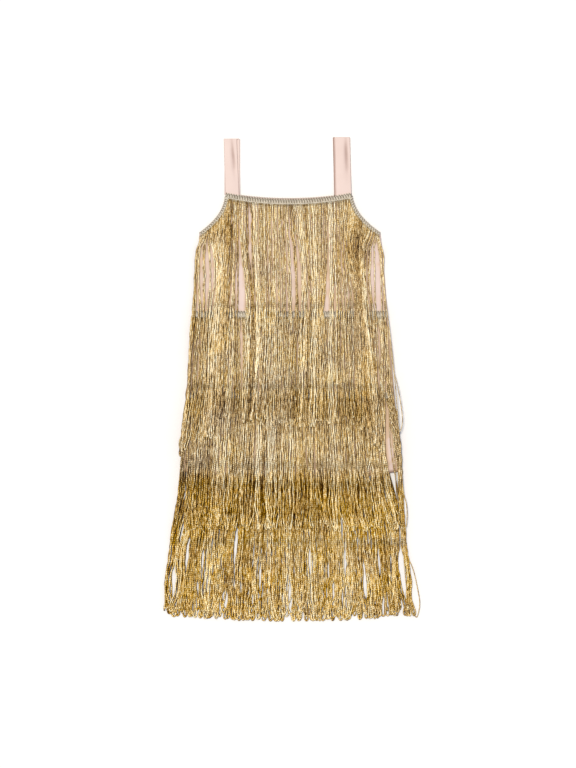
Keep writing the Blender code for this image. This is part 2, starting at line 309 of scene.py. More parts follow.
class Nodes:
    """A short way to write a material's node tree."""

    def __init__(self, name):
        self.material = bpy.data.materials.new(name)
        self.material.use_nodes = True
        self.tree = self.material.node_tree
        self.shader = self.tree.nodes["Principled BSDF"]

    def node(self, kind, inputs=None, **settings):
        """A node with its settings and its inputs, which are values or other nodes' sockets."""
        made = self.tree.nodes.new(kind)
        for key, value in settings.items():
            setattr(made, key, value)
        for key, value in (inputs or {}).items():
            self.put(made.inputs[key], value)
        return made

    def put(self, socket, value):
        """Sets a socket to a value, or links it to another node's socket."""
        if isinstance(value, bpy.types.NodeSocket):
            self.tree.links.new(value, socket)
        else:
            socket.default_value = value

    def math(self, operation, first, second=0.0):
        """The result of a Math node."""
        return self.node("ShaderNodeMath", {0: first, 1: second}, operation=operation).outputs[0]

    def swayed(self, factor, part, strength, middle=0.5):
        """A factor moved up and down by a part: its distance from the middle times the strength."""
        share = self.math("MULTIPLY", self.math("SUBTRACT", part, middle), strength)
        return self.math("ADD", factor, share)

    def attribute(self, name):
        """The value of a point attribute of the piece."""
        return self.node("ShaderNodeAttribute", attribute_name=name).outputs["Fac"]

    def place(self):
        """Object coordinates, in metres."""
        return self.node("ShaderNodeTexCoord").outputs["Object"]

    def noise(self, vector, scale, detail=2.0, roughness=0.5):
        """The value of a Noise Texture."""
        inputs = {"Vector": vector, "Scale": scale, "Detail": detail, "Roughness": roughness}
        return self.node("ShaderNodeTexNoise", inputs).outputs["Fac"]

    def ramp(self, factor, stops):
        """The colour of a Color Ramp with the given (position, colour) stops."""
        made = self.node("ShaderNodeValToRGB", {"Fac": factor})
        elements = made.color_ramp.elements
        while len(elements) < len(stops):
            elements.new(0.5)
        for element, (position, colour) in zip(elements, stops):
            element.position = position
            element.color = (*colour, 1.0)
        return made.outputs["Color"]

    def bump(self, height, strength, distance):
        """The normal of a Bump node."""
        inputs = {"Height": height, "Strength": strength, "Distance": distance}
        return self.node("ShaderNodeBump", inputs).outputs["Normal"]

    def finish(self, **inputs):
        """Sets the shader's own sockets, named with underscores for spaces."""
        for key, value in inputs.items():
            self.put(self.shader.inputs[key.replace("_", " ")], value)
        return self.material


def linear(colour):
    """A display colour of 0 to 255 as scene-linear values."""
    shares = np.array(colour) / 255.0
    return tuple(np.where(shares <= 0.04045, shares / 12.92, ((shares + 0.055) / 1.055) ** 2.4).tolist())


def cord_place(nodes, parts, around, along):
    """A point of the cord's own surface, stretched around and along it."""
    x = nodes.math("MULTIPLY", parts.outputs["X"], around)
    y = nodes.math("MULTIPLY", parts.outputs["Y"], along)
    return nodes.node("ShaderNodeCombineXYZ", {"X": x, "Y": y}).outputs["Vector"]


def gold_cord_material(settings):
    """Twisted metallic cord: a helical twist that is a bump and painted shade, painted glint streaks and
    sparkle along it, its top painted lighter and its sides darker, and a drifting tone.
    """
    nodes = Nodes("gold_cord_finish")
    place = nodes.place()
    uv = nodes.node("ShaderNodeUVMap", uv_map="along").outputs["UV"]
    parts = nodes.node("ShaderNodeSeparateXYZ", {"Vector": uv})
    turns = nodes.math("MULTIPLY", parts.outputs["Y"], 1.0 / settings.cord_twist)
    phase = nodes.math("ADD", turns, parts.outputs["X"])
    # Painted shade: the helical twist darkens and lightens the colour along the cord, and is also a bump.
    painted_twist_shade_and_relief = nodes.math("SINE", nodes.math("MULTIPLY", phase, 2.0 * np.pi))
    # Painted light: crown paints each cord's top lighter and its sides darker, as overhead light and shade
    # would.
    from_top = nodes.math("ADD", parts.outputs["X"], 0.1)
    crown = nodes.math("SINE", nodes.math("MULTIPLY", from_top, 2.0 * np.pi))
    # Painted highlights: the streaks and the sparkle along each cord are painted glints; the sparkle is also
    # a bump.
    painted_glint_streak = nodes.noise(cord_place(nodes, parts, 2.3, 120.0), 1.0, 1.0, 0.6)
    painted_sparkle_and_relief = nodes.noise(cord_place(nodes, parts, 4.1, 430.0), 1.0, 1.0, 0.6)
    drift = nodes.noise(place, 26.0, 2.0, 0.5)
    factor = nodes.attribute("tone")
    for part, strength, middle in (
        (painted_glint_streak, 1.1, 0.5), (painted_sparkle_and_relief, 0.9, 0.5), (drift, 0.35, 0.5), (painted_twist_shade_and_relief, 0.06, 0.0), (crown, 0.50, 0.7),
    ):
        factor = nodes.swayed(factor, part, strength, middle)
    # The darkest stop of the ramp is painted shade in the twist's grooves, and the palest a painted glint.
    colour = nodes.ramp(factor, [
        (0.08, settings.cord_dark),
        (0.36, settings.cord_deep),
        (0.62, settings.cord_gold),
        (0.92, settings.cord_pale),
    ])
    height = nodes.node("ShaderNodeSeparateXYZ", {"Vector": place}).outputs["Y"]
    richness = nodes.node("ShaderNodeMapRange", {
        "Value": height, "From Min": HEM_CORNER_HEIGHT, "From Max": HEM_CORNER_HEIGHT - 22.0 * MM,
        "To Min": settings.richness_above, "To Max": settings.richness_below,
    }).outputs["Result"]
    richness = nodes.swayed(richness, drift, 0.6)
    enriched = {"Color": colour, "Saturation": richness}
    colour = nodes.node("ShaderNodeHueSaturation", enriched).outputs["Color"]
    relief = nodes.math("ADD", nodes.math("MULTIPLY", painted_twist_shade_and_relief, 0.5), painted_sparkle_and_relief)
    normal = nodes.bump(relief, 0.7, 0.35 * MM)
    return nodes.finish(
        Base_Color=colour, Metallic=0.65, Roughness=0.45, Normal=normal, Specular_IOR_Level=0.1,
    )


def cloth_material(settings):
    """Blush satin: a fine woven grain, a soft sheen, a faint drift of tone and painted gold bounce light
    where cords lie close.
    """
    nodes = Nodes("blush_satin_finish")
    place = nodes.place()
    parts = nodes.node("ShaderNodeSeparateXYZ", {"Vector": place})
    threads = 2.0 * np.pi / settings.thread_pitch
    warp = nodes.math("SINE", nodes.math("MULTIPLY", parts.outputs["X"], threads))
    weft = nodes.math("SINE", nodes.math("MULTIPLY", parts.outputs["Y"], threads))
    weave = nodes.math("MULTIPLY", warp, weft)
    drift = nodes.noise(place, 18.0, 3.0, 0.55)
    slub = nodes.noise(nodes.node(
        "ShaderNodeMapping", {"Vector": place, "Scale": (1.0, 0.12, 1.0)},
    ).outputs["Vector"], 400.0, 2.0, 0.5)
    factor = nodes.swayed(nodes.attribute("tone"), drift, 0.5)
    # The shade stop of the ramp carries the painted shade that the tone sets at the hem, top edge and
    # straps.
    colour = nodes.ramp(factor, [
        (0.0, settings.cloth_shade),
        (0.5, settings.cloth_blush),
        (1.0, settings.cloth_light),
    ])
    # Painted bounce light: satin under close cords is mixed towards gold, as if lit by light thrown back
    # from the cords.
    painted_bounce = nodes.attribute("painted_bounce")
    share = nodes.math("MULTIPLY", painted_bounce, settings.painted_bounce_strength)
    colour = nodes.node(
        "ShaderNodeMixRGB", {"Fac": share, "Color1": colour, "Color2": (*settings.painted_bounce_colour, 1.0)},
    ).outputs["Color"]
    relief = nodes.math("ADD", nodes.math("MULTIPLY", weave, 0.4), slub)
    return nodes.finish(
        Base_Color=colour, Roughness=0.5, Specular_IOR_Level=0.45, Sheen_Weight=0.25, Sheen_Roughness=0.4,
        Normal=nodes.bump(relief, 0.12, 0.1 * MM),
    )


def gimp_material(name, light, dark):
    """Gimp yarn: metallic yarn with a painted broken glint, which is also a fine bump, and a drifting tone.
    """
    nodes = Nodes(name)
    place = nodes.place()
    # Painted highlight: fine noise in the colour stands for broken glints on the yarn.
    painted_glint_and_relief = nodes.noise(place, 900.0, 1.0, 0.6)
    drift = nodes.noise(place, 120.0, 2.0, 0.5)
    factor = nodes.swayed(nodes.swayed(nodes.attribute("tone"), painted_glint_and_relief, 0.9), drift, 0.5)
    colour = nodes.ramp(factor, [(0.1, dark), (0.9, light)])
    return nodes.finish(
        Base_Color=colour, Metallic=0.25, Roughness=0.45, Normal=nodes.bump(painted_glint_and_relief, 0.5, 0.2 * MM),
    )


# ---------------------------------------------------------------- Shell and straps

SATIN_TONE = 0.62

# Soft creases of the shell: where each starts and ends, how wide it is and how deep or high it goes
Crease = namedtuple("Crease", "x_top y_top x_end y_end width height")
SHELL_CREASES = [
    Crease(-118, 232, -134, 118, 7.0, 0.45),
    Crease(-82, 262, -71, 96, 9.0, -0.40),
    Crease(-30, 270, -12, 120, 12.0, 0.40),
    Crease(14, 262, 2, 96, 8.0, -0.40),
    Crease(64, 258, 56, 104, 9.0, 0.45),
    Crease(132, 226, 140, 60, 7.0, -0.45),
    Crease(-150, 30, -158, -128, 8.0, 0.40),
    Crease(-66, -40, -82, -150, 11.0, -0.40),
    Crease(38, -10, 46, -150, 13.0, 0.45),
    Crease(112, 30, 128, -146, 9.0, -0.40),
    Crease(150, -52, 166, -140, 7.0, 0.50),
]


def crease_relief(x, y, creases):
    """Height of soft creases: a bell across each line, fading along it towards both ends."""
    relief = np.zeros_like(x)
    for crease in creases:
        start = np.array([crease.x_top, crease.y_top]) * MM
        line = np.array([crease.x_end, crease.y_end]) * MM - start
        length = np.hypot(*line)
        along = ((x - start[0]) * line[0] + (y - start[1]) * line[1]) / length**2
        off = ((x - start[0]) * line[1] - (y - start[1]) * line[0]) / length
        fade = np.clip(1.0 - (2.0 * along - 1.0) ** 2, 0.0, 1.0)
        relief += crease.height * MM * fade * bell(off, crease.width * MM)
    return relief


def panel_middle(side, y):
    """Height of the middle of a packed panel's wall as a function of y."""
    node = f"panel_{side}"
    return (face_profile(node, True)(y) + face_profile(node, False)(y)) / 2.0


def panel_grid(side, rows=76, columns=72):
    """Mid surface of a panel: columns fan from hem to top edge, and rows go from hem to top.

    A column keeps its share of the half width. Its height runs from the curved hem to the top edge,
    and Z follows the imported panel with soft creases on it.
    """
    share = np.linspace(-1.0, 1.0, columns)
    rise = np.linspace(0.0, 1.0, rows)[:, None]
    top_x = share * UNDERARM_HALF_WIDTH
    top_y = panel_top(top_x, side)
    hem_y = HEM_CORNER_HEIGHT - HEM_DROP[side] * (1.0 - share**2)
    y = hem_y + rise * (top_y - hem_y)
    x = share * np.minimum(side_seam(np.minimum(y, UNDERARM_HEIGHT)), HEM_HALF_WIDTH)
    z = panel_middle(side, y) + 0.5 * crease_relief(x, y, SHELL_CREASES)
    return np.stack([x + lean(y), y, z], axis=-1)


def hem_tone(points, side):
    """Tone of a panel: painted shade along the turned hem's edge and along the top edge, and darker along
    the hem's line of stitches.
    """
    share = points[..., 0] / HEM_HALF_WIDTH
    above_hem = points[..., 1] - (HEM_CORNER_HEIGHT - HEM_DROP[side] * (1.0 - share**2))
    # Painted shade along the hem's edge.
    edge = bell(above_hem, 1.2 * MM)
    stitch = bell(above_hem - 9.0 * MM, 0.9 * MM)
    # Painted shade along the top edge, where the inside of the panel lies in shade.
    below_top = panel_top(points[..., 0] - lean(points[..., 1]), side) - points[..., 1]
    shade = bell(below_top, 3.0 * MM)
    return SATIN_TONE - 0.55 * edge - 0.25 * stitch - 0.5 * shade


class DRESS_OT_shell(bpy.types.Operator):
    """Make the shell's front and back panels as thin creased sheets"""

    bl_idname = "dress.make_shell"
    bl_label = "Shell"

    def execute(self, context):
        settings = context.scene.dress_cloth
        material = cloth_material(settings)
        for side in SIDES:
            points = panel_grid(side)
            verts, faces = slab(points, surface_normals(points), settings.cloth_thickness)
            tone = np.tile(hem_tone(points, side).ravel(), 2)
            piece = make_object(f"shell_{side}", verts, [faces], material, tone=tone)
            settle(piece, "blush_cloth", f"panel_{side}")
        return {"FINISHED"}


# Straps: height of the fold, edges of the front run and of the back run behind it, at the neckline and at
# the fold, and the crease's place across at both
Strap = namedtuple("Strap", "fold front_base front_fold back_fold back_base crease_base crease_fold")
STRAPS = {
    "left": Strap(384.5, (-104.2, -82.1), (-106.6, -85.9), (-105.4, -80.8), (-105.4, -80.8), 0.70, 0.15),
    "right": Strap(387.0, (72.8, 97.4), (70.6, 95.2), (67.8, 92.4), (70.0, 94.6), 0.60, 0.40),
}


def crease_fade(rise):
    """Depth of a strap's crease from neckline to fold: deepest at two thirds of the way up."""
    return bell(rise - 0.64, 0.24)


def strap_mid_surface(hand, thickness):
    """Mid surface of a strap: up the back run, round the fold and down the front run.

    Each row goes across the band. The runs settle from the panels' level to the surface, and the front
    run crowns and sinks along one soft crease.
    """
    strap = STRAPS[hand]
    base = {side: panel_middle(side, NECK_HEIGHT) for side in SIDES}
    lie = {"back": 0.7 * MM, "front": 2.1 * MM}
    turn = (lie["front"] - lie["back"]) / 2.0
    fold_y = strap.fold * MM - turn - thickness / 2.0
    across = np.linspace(-1.0, 1.0, 23)
    rise = np.linspace(0.0, 1.0, 40)
    settle_start, settle_length = 4.0 * MM, 34.0 * MM

    def run(side, edges_base, edges_fold):
        """One run of the band, from the neckline up to the fold."""
        left = edges_base[0] + rise * (edges_fold[0] - edges_base[0])
        right = edges_base[1] + rise * (edges_fold[1] - edges_base[1])
        x = (left[:, None] + (across + 1.0) / 2.0 * (right - left)[:, None]) * MM
        start = neckline(x[0] - NECK_LEAN, side) - 3.0 * MM
        y = start + rise[:, None] * (fold_y - start)
        drop = ease(np.clip((y - NECK_HEIGHT - settle_start) / settle_length, 0.0, 1.0))
        z = base[side] + drop * (lie[side] - base[side])
        return x, y, z

    back_x, back_y, back_z = run("back", strap.back_base, strap.back_fold)
    front_x, front_y, front_z = run("front", strap.front_base, strap.front_fold)
    ridge = strap.crease_base + rise[:, None] * (strap.crease_fold - strap.crease_base)
    crown = 0.55 * MM * (1.0 - across**2) * np.sin(np.pi * np.clip(rise * 1.08, 0.0, 1.0))[:, None] ** 0.6
    trough = -0.90 * MM * bell(across - ridge, 0.28) * crease_fade(rise)[:, None]
    front_z = front_z + crown + trough
    angle = np.linspace(0.0, np.pi, 12)[1:-1, None]
    share = angle / np.pi
    fold_x = back_x[-1] + share * (front_x[-1] - back_x[-1])
    fold_arc = fold_y + turn * np.sin(angle) + 0.0 * across
    fold_z = (lie["back"] + turn) - turn * np.cos(angle) + 0.0 * across
    x = np.concatenate([back_x, fold_x, front_x[::-1]])
    y = np.concatenate([back_y, fold_arc, front_y[::-1]])
    z = np.concatenate([back_z, fold_z, front_z[::-1]])
    return np.stack([x, y, z], axis=-1)


def strap_tone(hand, shape):
    """Tone of a strap: darker along both edges, painted shade in the crease and painted shade on the back
    run's covered edge.
    """
    strap = STRAPS[hand]
    across = np.linspace(-1.0, 1.0, shape[1])
    along = np.linspace(-1.0, 1.0, shape[0])[:, None]
    ridge = strap.crease_fold + (strap.crease_base - strap.crease_fold) * np.clip(along, 0.0, 1.0)
    edge = bell(1.0 - np.abs(across), 0.05)
    # Painted shade along the soft crease.
    crease = bell(across - ridge, 0.26) * crease_fade(1.0 - along) * (along > 0.0)
    # Painted shade on the edge of the right strap's back run, where the front run covers it.
    painted_covered_shade = bell(1.0 + across, 0.16) * np.clip(-along * 12.0, 0.0, 1.0) * (hand == "right")
    return SATIN_TONE - 0.30 * edge - 0.46 * crease - 0.9 * painted_covered_shade


class DRESS_OT_straps(bpy.types.Operator):
    """Make each strap as one band folded at the shoulder, with darker edges and a soft crease"""

    bl_idname = "dress.make_straps"
    bl_label = "Straps"

    def execute(self, context):
        settings = context.scene.dress_cloth
        material = bpy.data.materials["blush_satin_finish"]
        thickness = settings.cloth_thickness
        for hand in HANDS:
            points = strap_mid_surface(hand, thickness)
            verts, faces = slab(points, -surface_normals(points), thickness)
            tone = np.tile(strap_tone(hand, points.shape[:2]).ravel(), 2)
            piece = make_object(f"strap_band_{hand}", verts, [faces[:, ::-1]], material, tone=tone)
            settle(piece, "blush_cloth", f"strap_{hand}")
        return {"FINISHED"}


# ---------------------------------------------------------------- Gimp tapes

# The yarns of the gimp: place across the tape from its lower edge, swing, pitch, phase, radius, lift,
# tone and how strongly the tone flickers along the yarn
Yarn = namedtuple("Yarn", "place swing pitch phase radius lift tone fleck")
GIMP_YARNS = [
    Yarn(0.09, 0.05, 3.2, 0.0, 0.80, 0.85, 0.85, 0.30),
    Yarn(0.27, 0.06, 3.2, 0.5, 0.80, 0.85, 0.90, 0.30),
    Yarn(0.47, 0.10, 4.2, 0.0, 0.80, 0.85, 0.52, 0.50),
    Yarn(0.67, 0.10, 4.2, 0.1, 0.80, 0.85, 0.48, 0.50),
    Yarn(0.88, 0.20, 4.2, 0.3, 0.75, 0.80, 0.34, 0.55),
]


def path_frame(path):
    """Distance along a path in the plane, and the unit normal on its left, at each of its points."""
    steps = np.hypot(*np.diff(path, axis=0).T)
    distance = np.concatenate([[0.0], np.cumsum(steps)])
    tangent = np.gradient(path, axis=0)
    tangent /= np.linalg.norm(tangent, axis=1, keepdims=True)
    return distance, np.stack([-tangent[:, 1], tangent[:, 0]], axis=1)


def evenly_along(path, step):
    """The path's points again at an even spacing."""
    distance = path_frame(path)[0]
    count = max(8, int(round(distance[-1] / step)))
    places = np.linspace(0.0, distance[-1], count)
    return np.stack([np.interp(places, distance, axis) for axis in path.T], axis=1)


def gimp_tape(name, path, width, side, material, step):
    """A gimp tape whose lower edge follows a path: a thin woven band with swinging yarns on it.

    A yarn's place across the tape is its own place plus its swing times the sine of the distance along
    over its pitch, and it stands its lift over the panel: above the front one and below the back one.
    """
    facing = 1.0 if side == "front" else -1.0
    lower_edge = evenly_along(path, step)
    distance, normal = path_frame(lower_edge)
    z = face_profile(f"panel_{side}", side == "back")(lower_edge[:, 1]) + facing * 0.1 * MM
    shares = np.linspace(0.06, 0.90, 4)
    band = np.zeros((len(shares), len(lower_edge), 3))
    band[..., :2] = lower_edge + shares[:, None, None] * width * normal
    band[..., 2] = z + facing * 0.28 * MM
    points, faces = slab(band, np.broadcast_to([0.0, 0.0, 1.0], band.shape), 0.45 * MM)
    all_points, face_sets = [points], [faces]
    tones = [np.full(len(points), 0.40)]
    start = len(points)
    for yarn in GIMP_YARNS:
        swing = yarn.swing * np.sin(2.0 * np.pi * (distance / (yarn.pitch * MM) + yarn.phase))
        path_xyz = np.zeros((1, len(distance), 3))
        path_xyz[0, :, :2] = lower_edge + (yarn.place + swing)[:, None] * width * normal
        weave = 0.15 * MM * np.cos(4.0 * np.pi * distance / (yarn.pitch * MM))
        path_xyz[0, :, 2] = z + facing * (yarn.lift * MM + weave)
        radius = np.full((1, len(distance)), yarn.radius * MM)
        yarn_points, yarn_faces, _ = tubes(path_xyz, radius, 4)
        all_points.append(yarn_points)
        face_sets += [faces + start for faces in yarn_faces]
        flicker = np.tanh(2.0 * np.sin(2.0 * np.pi * (distance / (yarn.pitch * MM) + yarn.phase + 0.1)))
        tones.append(np.repeat(yarn.tone + yarn.fleck * flicker, 4))
        start += len(yarn_points)
    return make_object(name, np.concatenate(all_points), face_sets, material, tone=np.concatenate(tones))


class DRESS_OT_tapes(bpy.types.Operator):
    """Make the gimp tapes of the neckline, the armholes and the two lower tiers"""

    bl_idname = "dress.make_tapes"
    bl_label = "Gimp tapes"

    def execute(self, context):
        settings = context.scene.dress_tape
        material = gimp_material("gimp_finish", settings.gimp_light, settings.gimp_dark)
        for side in SIDES:
            across = np.linspace(-NECK_HALF_WIDTH, NECK_HALF_WIDTH, 60)
            path = np.stack([across + NECK_LEAN, neckline(across, side) - NECK_TAPE_WIDTH], axis=1)
            piece = gimp_tape(f"neck_gimp_{side}", path, NECK_TAPE_WIDTH, side, material, 0.7 * MM)
            settle(piece, "gimp_tape", f"neck_tape_{side}")
            for hand in HANDS:
                sign = -1.0 if hand == "left" else 1.0
                depth = np.linspace(NECK_TAPE_WIDTH * 0.5, NECK_HEIGHT - UNDERARM_HEIGHT, 40)
                x, y = armhole_inset(depth, ARMHOLE_TAPE_WIDTH)
                path = np.stack([sign * x + lean(y), y], axis=1)
                if hand == "left":
                    path = path[::-1]
                name = f"armhole_gimp_{hand}_{side}"
                piece = gimp_tape(name, path, ARMHOLE_TAPE_WIDTH, side, material, 0.7 * MM)
                settle(piece, "gimp_tape", f"armhole_tape_{hand}_{side}")
            for tier in TIERS[1:]:
                node = f"tier_{tier}_tape_{side}"
                bottom = low(node, 1)
                half = high(node, 0)
                path = np.array([[-half, bottom], [half, bottom]])
                name = f"tier_{tier}_gimp_{side}"
                piece = gimp_tape(name, path, high(node, 1) - bottom, side, material, 1.0 * MM)
                settle(piece, "gimp_tape", node)
        return {"FINISHED"}


# ---------------------------------------------------------------- Fringe

# Guides: how the cords of each tier flow down the front. The first row has the heights of the stations
# below the heading; each other row starts with a place along the heading and goes on with the place
# across of the cord that hangs from there, at each station. Cords in between flow in between.
GUIDES = {
    1: [
        (0, 230, 200, 160, 110, 50, -20, -75, -129),
        (-146, -147, -150, -153, -157, -162, -166, -173, -181),
        (-139, -146, -148.5, -150.5, -153.5, -158.5, -162, -168, -175),
        (-137, -142.5, -144.5, -146, -147, -152.5, -156.5, -162, -168),
        (-134, -139, -139.5, -140, -141, -144, -147.5, -153, -159),
        (-130, -134, -133, -132, -133.5, -138, -140, -145, -151),
        (-124, -126.5, -122.5, -120.5, -123.5, -128.5, -132.5, -137.5, -142.5),
        (-114, -117, -114.5, -115.5, -118.5, -122.5, -126.5, -130.5, -135.5),
        (-107, -108, -108, -113, -114, -118, -120, -124, -129),
        (-100, -100, -100, -104, -105, -109, -111, -115, -119),
        (-90, -91, -91.5, -94, -96, -99, -102, -105, -109),
        (-82, -82.5, -82.5, -84.0, -86, -85, -86, -94, -100),
        (-80, -80.5, -78.5, -72, -69.5, -71, -74, -80, -87),
        (-73, -73, -71, -67, -65.5, -67, -69, -73, -79),
        (-69, -70.5, -69, -64, -62, -63, -65, -68, -74),
        (-66.5, -61.5, -61.5, -60.5, -58.5, -59, -61, -63, -68),
        (-60, -58, -57, -55.5, -54, -55, -57, -60, -64),
        (-40, -40, -39, -38, -38, -40, -42, -44, -46),
        (-20, -20, -19, -18, -18, -20, -21, -22, -23),
        (-12, -12, -10, -8, -8, -10, -11, -12, -13),
        (-6, -5, -1, 1, 2, 0, -1, -1, -2),
        (2, 5, 9, 11, 12, 10, 9, 8, 8),
        (8, 12, 16, 18.5, 19, 17, 16, 15, 15),
        (16, 19, 22, 23.5, 24, 22, 21, 21, 21),
        (26, 28, 30, 32, 32, 30, 30, 30, 30),
        (38, 39, 40, 41.5, 42, 41, 41, 41, 42),
        (50, 50.5, 50.5, 49.5, 48, 50, 52, 52, 54),
        (52, 52, 52, 51, 49, 52, 54, 54, 56),
        (54, 56.5, 55.5, 53, 50.5, 54, 56, 56, 58),
        (58.5, 59, 58.5, 56, 52.5, 57, 59, 60, 62),
        (60, 61, 61, 62, 62.5, 60, 61, 62, 64),
        (70, 70, 70, 71, 72, 72, 73, 75, 78),
        (80, 80, 80, 82, 84, 85, 86, 88, 91),
        (90, 88, 89, 93, 97, 98, 99, 102, 105),
        (97, 94, 95, 100, 106, 108, 109, 112, 116),
        (105, 103, 102, 106, 112, 116, 118, 122, 126),
        (115, 111, 109, 111, 116, 122, 126, 130, 135),
        (125, 120, 116, 116, 120, 128, 132, 137, 141),
        (133, 128, 124, 122, 128, 133, 138, 143, 146),
        (137.99, 134, 135.5, 137, 139, 141, 146, 149.5, 152),
        (138.01, 141.5, 143.5, 143.5, 144, 147, 153, 158.5, 168),
        (141, 143, 147.5, 149, 150, 152, 158, 167, 171),
        (143, 146, 151, 155, 157, 158, 165, 174, 176),
    ],
    2: [
        (0, 60, 0, -60, -120, -160, -200, -250),
        (-155, -160, -165, -172, -178, -182, -186, -191),
        (-150, -153, -155, -163, -169, -173, -178, -184),
        (-147.5, -147, -147, -158, -162, -164, -168, -176),
        (-135, -137, -137, -142, -146, -148, -151, -157),
        (-120, -122, -122, -125, -128, -130, -132, -138),
        (-100, -102, -102, -104, -106, -108, -110, -115),
        (-81, -81, -81, -83, -85, -87, -89, -93),
        (-77, -74, -74, -76, -79, -81, -83, -87),
        (-60, -60, -60, -61, -63, -65, -67, -70),
        (-30, -30, -30, -31, -32, -33, -34, -36),
        (0, 0, 0, 0, 0, 0, 0, 0),
        (30, 30, 30, 31, 32, 33, 34, 36),
        (60, 60, 60, 62, 64, 66, 68, 72),
        (90, 91, 91, 93, 96, 98, 101, 106),
        (120, 121, 122, 124, 126, 129, 134, 141),
        (137, 136, 138, 139, 141, 144, 152, 160),
        (139, 143, 144, 146, 147, 149, 158, 166),
        (148.99, 149, 149, 150, 152, 158, 168, 174),
        (149.01, 152, 156, 160.5, 170, 173, 175, 179),
        (155, 158, 161, 171, 176.5, 179, 182, 186),
    ],
    3: [
        (0, -60, -100, -145, -180, -250, -300, -350, -387),
        (-165, -171, -175.5, -180, -183, -195, -200, -206, -207),
        (-155, -156, -157, -161, -162, -176, -184, -186, -190),
        (-140, -142, -145, -148, -151, -160, -166, -170, -170),
        (-100, -101, -103, -106, -109, -115, -119, -121, -121),
        (-60, -61, -62, -64, -66, -69, -71, -72, -72),
        (0, 0, 0, 0, 0, 0, 0, 0, 0),
        (60, 61, 62, 64, 66, 69, 71, 72, 72),
        (100, 102, 104, 107, 109, 116, 119, 121, 121),
        (140, 142, 143, 145, 149, 160, 164, 167, 167),
        (151.49, 151, 151.5, 155, 166, 173, 175, 179, 180),
        (151.51, 159.5, 165, 172.5, 173, 179, 182, 186, 187),
        (165, 171, 176, 178, 179, 184, 188, 192, 193),
    ],
}

# Partings: where the cords of some tiers stand apart, as place, span, half gap and sideways lean
Parting = namedtuple("Parting", "x top end half_gap lean tiers")
PARTINGS = [
    Parting(-140, 226, 140, 2.0, 4, (1,)),
    Parting(-134, 222, 112, 2.8, 6, (1,)),
    Parting(-126, 220, 112, 2.8, 5, (1,)),
    Parting(-42, 256, 160, 0.8, 0, (1,)),
    Parting(-38, 236, 190, 0.8, 1, (1,)),
    Parting(-18, 240, 112, 1.0, 1, (1,)),
    Parting(-5, 250, 112, 2.2, 8, (1,)),
    Parting(4, 246, 112, 2.2, 9, (1,)),
    Parting(13, 244, 112, 2.6, 8, (1,)),
    Parting(28, 150, 106, 1.8, 2, (1,)),
    Parting(-148, 80, -22, 1.2, 0, (1, 2)),
    Parting(11, 62, 0, 1.6, 2, (1, 2)),
    Parting(141, 92, -14, 1.6, 3, (1, 2)),
    Parting(-162, -56, -150, 1.0, -5, (1, 2, 3)),
    Parting(126.5, -134, -166, 4.0, 0, (2, 3)),
    Parting(-58.5, -152, -200, 1.6, 0, (2,)),
    Parting(-5, -152, -204, 2.0, 0, (2,)),
    Parting(8, -152, -200, 2.2, 0, (2,)),
    Parting(50, -152, -196, 1.8, 0, (2,)),
    Parting(90, -152, -200, 1.8, 0, (2,)),
    Parting(108, -152, -204, 2.0, 0, (2,)),
    Parting(-104, -152, -200, 1.6, 0, (2,)),
    Parting(-169, -156, -198, 2.0, -2, (2, 3)),
    Parting(-174, -222, -270, 3.0, 2, (2, 3)),
    Parting(-181, -268, -296, 1.6, 2, (3,)),
    Parting(-187, -290, -360, 6.2, -8, (3,)),
    Parting(-166, -246, -316, 3.6, -1, (3,)),
    Parting(-88, -212, -300, 3.8, -3, (3,)),
    Parting(-49, -288, -356, 3.6, -2, (3,)),
    Parting(-140, -258, -330, 3.4, -3, (3,)),
    Parting(-105, -338, -374, 3.6, -3, (3,)),
    Parting(-60, -340, -374, 3.2, 0, (3,)),
    Parting(-2, -316, -378, 3.8, 0, (3,)),
    Parting(33, -208, -250, 3.0, 1, (3,)),
    Parting(81, -212, -262, 3.0, 2, (3,)),
    Parting(104, -220, -256, 3.0, 1, (3,)),
    Parting(32, -262, -326, 4.0, 5, (3,)),
    Parting(62, -286, -326, 3.0, 0, (3,)),
    Parting(68, -322, -358, 3.0, 3, (3,)),
    Parting(77, -350, -382, 3.6, 0, (3,)),
    Parting(94, -350, -380, 3.6, 2, (3,)),
    Parting(87, -272, -326, 3.2, 3, (3,)),
    Parting(119, -272, -362, 4.0, 2, (3,)),
    Parting(143, -264, -340, 3.2, 3, (3,)),
    Parting(182, -268, -352, 6.0, 8, (3,)),
]

# How far beside a parting the cords give way, and the least half gap that goes through to the back
PARTING_REACH = 9.0 * MM
LEAST_THROUGH = 2.95

# Bundles: the least and most cords in one, the depths below the heading where they start to draw
# together and where they are together, and how strongly. The reach is the most that a cord is drawn by.
Bundle = namedtuple("Bundle", "least most start full strength")
BUNDLES = [Bundle(2, 3, 20, 100, 0.25), Bundle(2, 4, 120, 220, 0.30), Bundle(2, 6, 240, 340, 0.25)]
BUNDLE_REACH = 3.0 * MM

# Twists: cords from a place on the heading outwards that wind round each other into a loose rope
Twist = namedtuple("Twist", "heading top end pitch radius")
TWISTS = {1: Twist(138, 6, -125, 40, 3.4), 2: Twist(149, 2, -150, 44, 2.6)}

# Gatherings: where the cords crowd together, as place, span, reach across and strength
Gathering = namedtuple("Gathering", "x top end reach pull tiers")
GATHERINGS = [
    Gathering(-120, -180, -262, 14, 0.35, (2,)),
    Gathering(-30, -190, -262, 16, 0.30, (2,)),
    Gathering(60, -180, -262, 14, 0.30, (2,)),
    Gathering(-160, -320, -430, 12, 0.42, (3,)),
    Gathering(-120, -330, -430, 12, 0.42, (3,)),
    Gathering(-75, -320, -430, 14, 0.42, (3,)),
    Gathering(-25, -330, -430, 12, 0.42, (3,)),
    Gathering(20, -330, -430, 12, 0.42, (3,)),
    Gathering(105, -300, -430, 12, 0.42, (3,)),
    Gathering(160, -300, -430, 12, 0.42, (3,)),
]
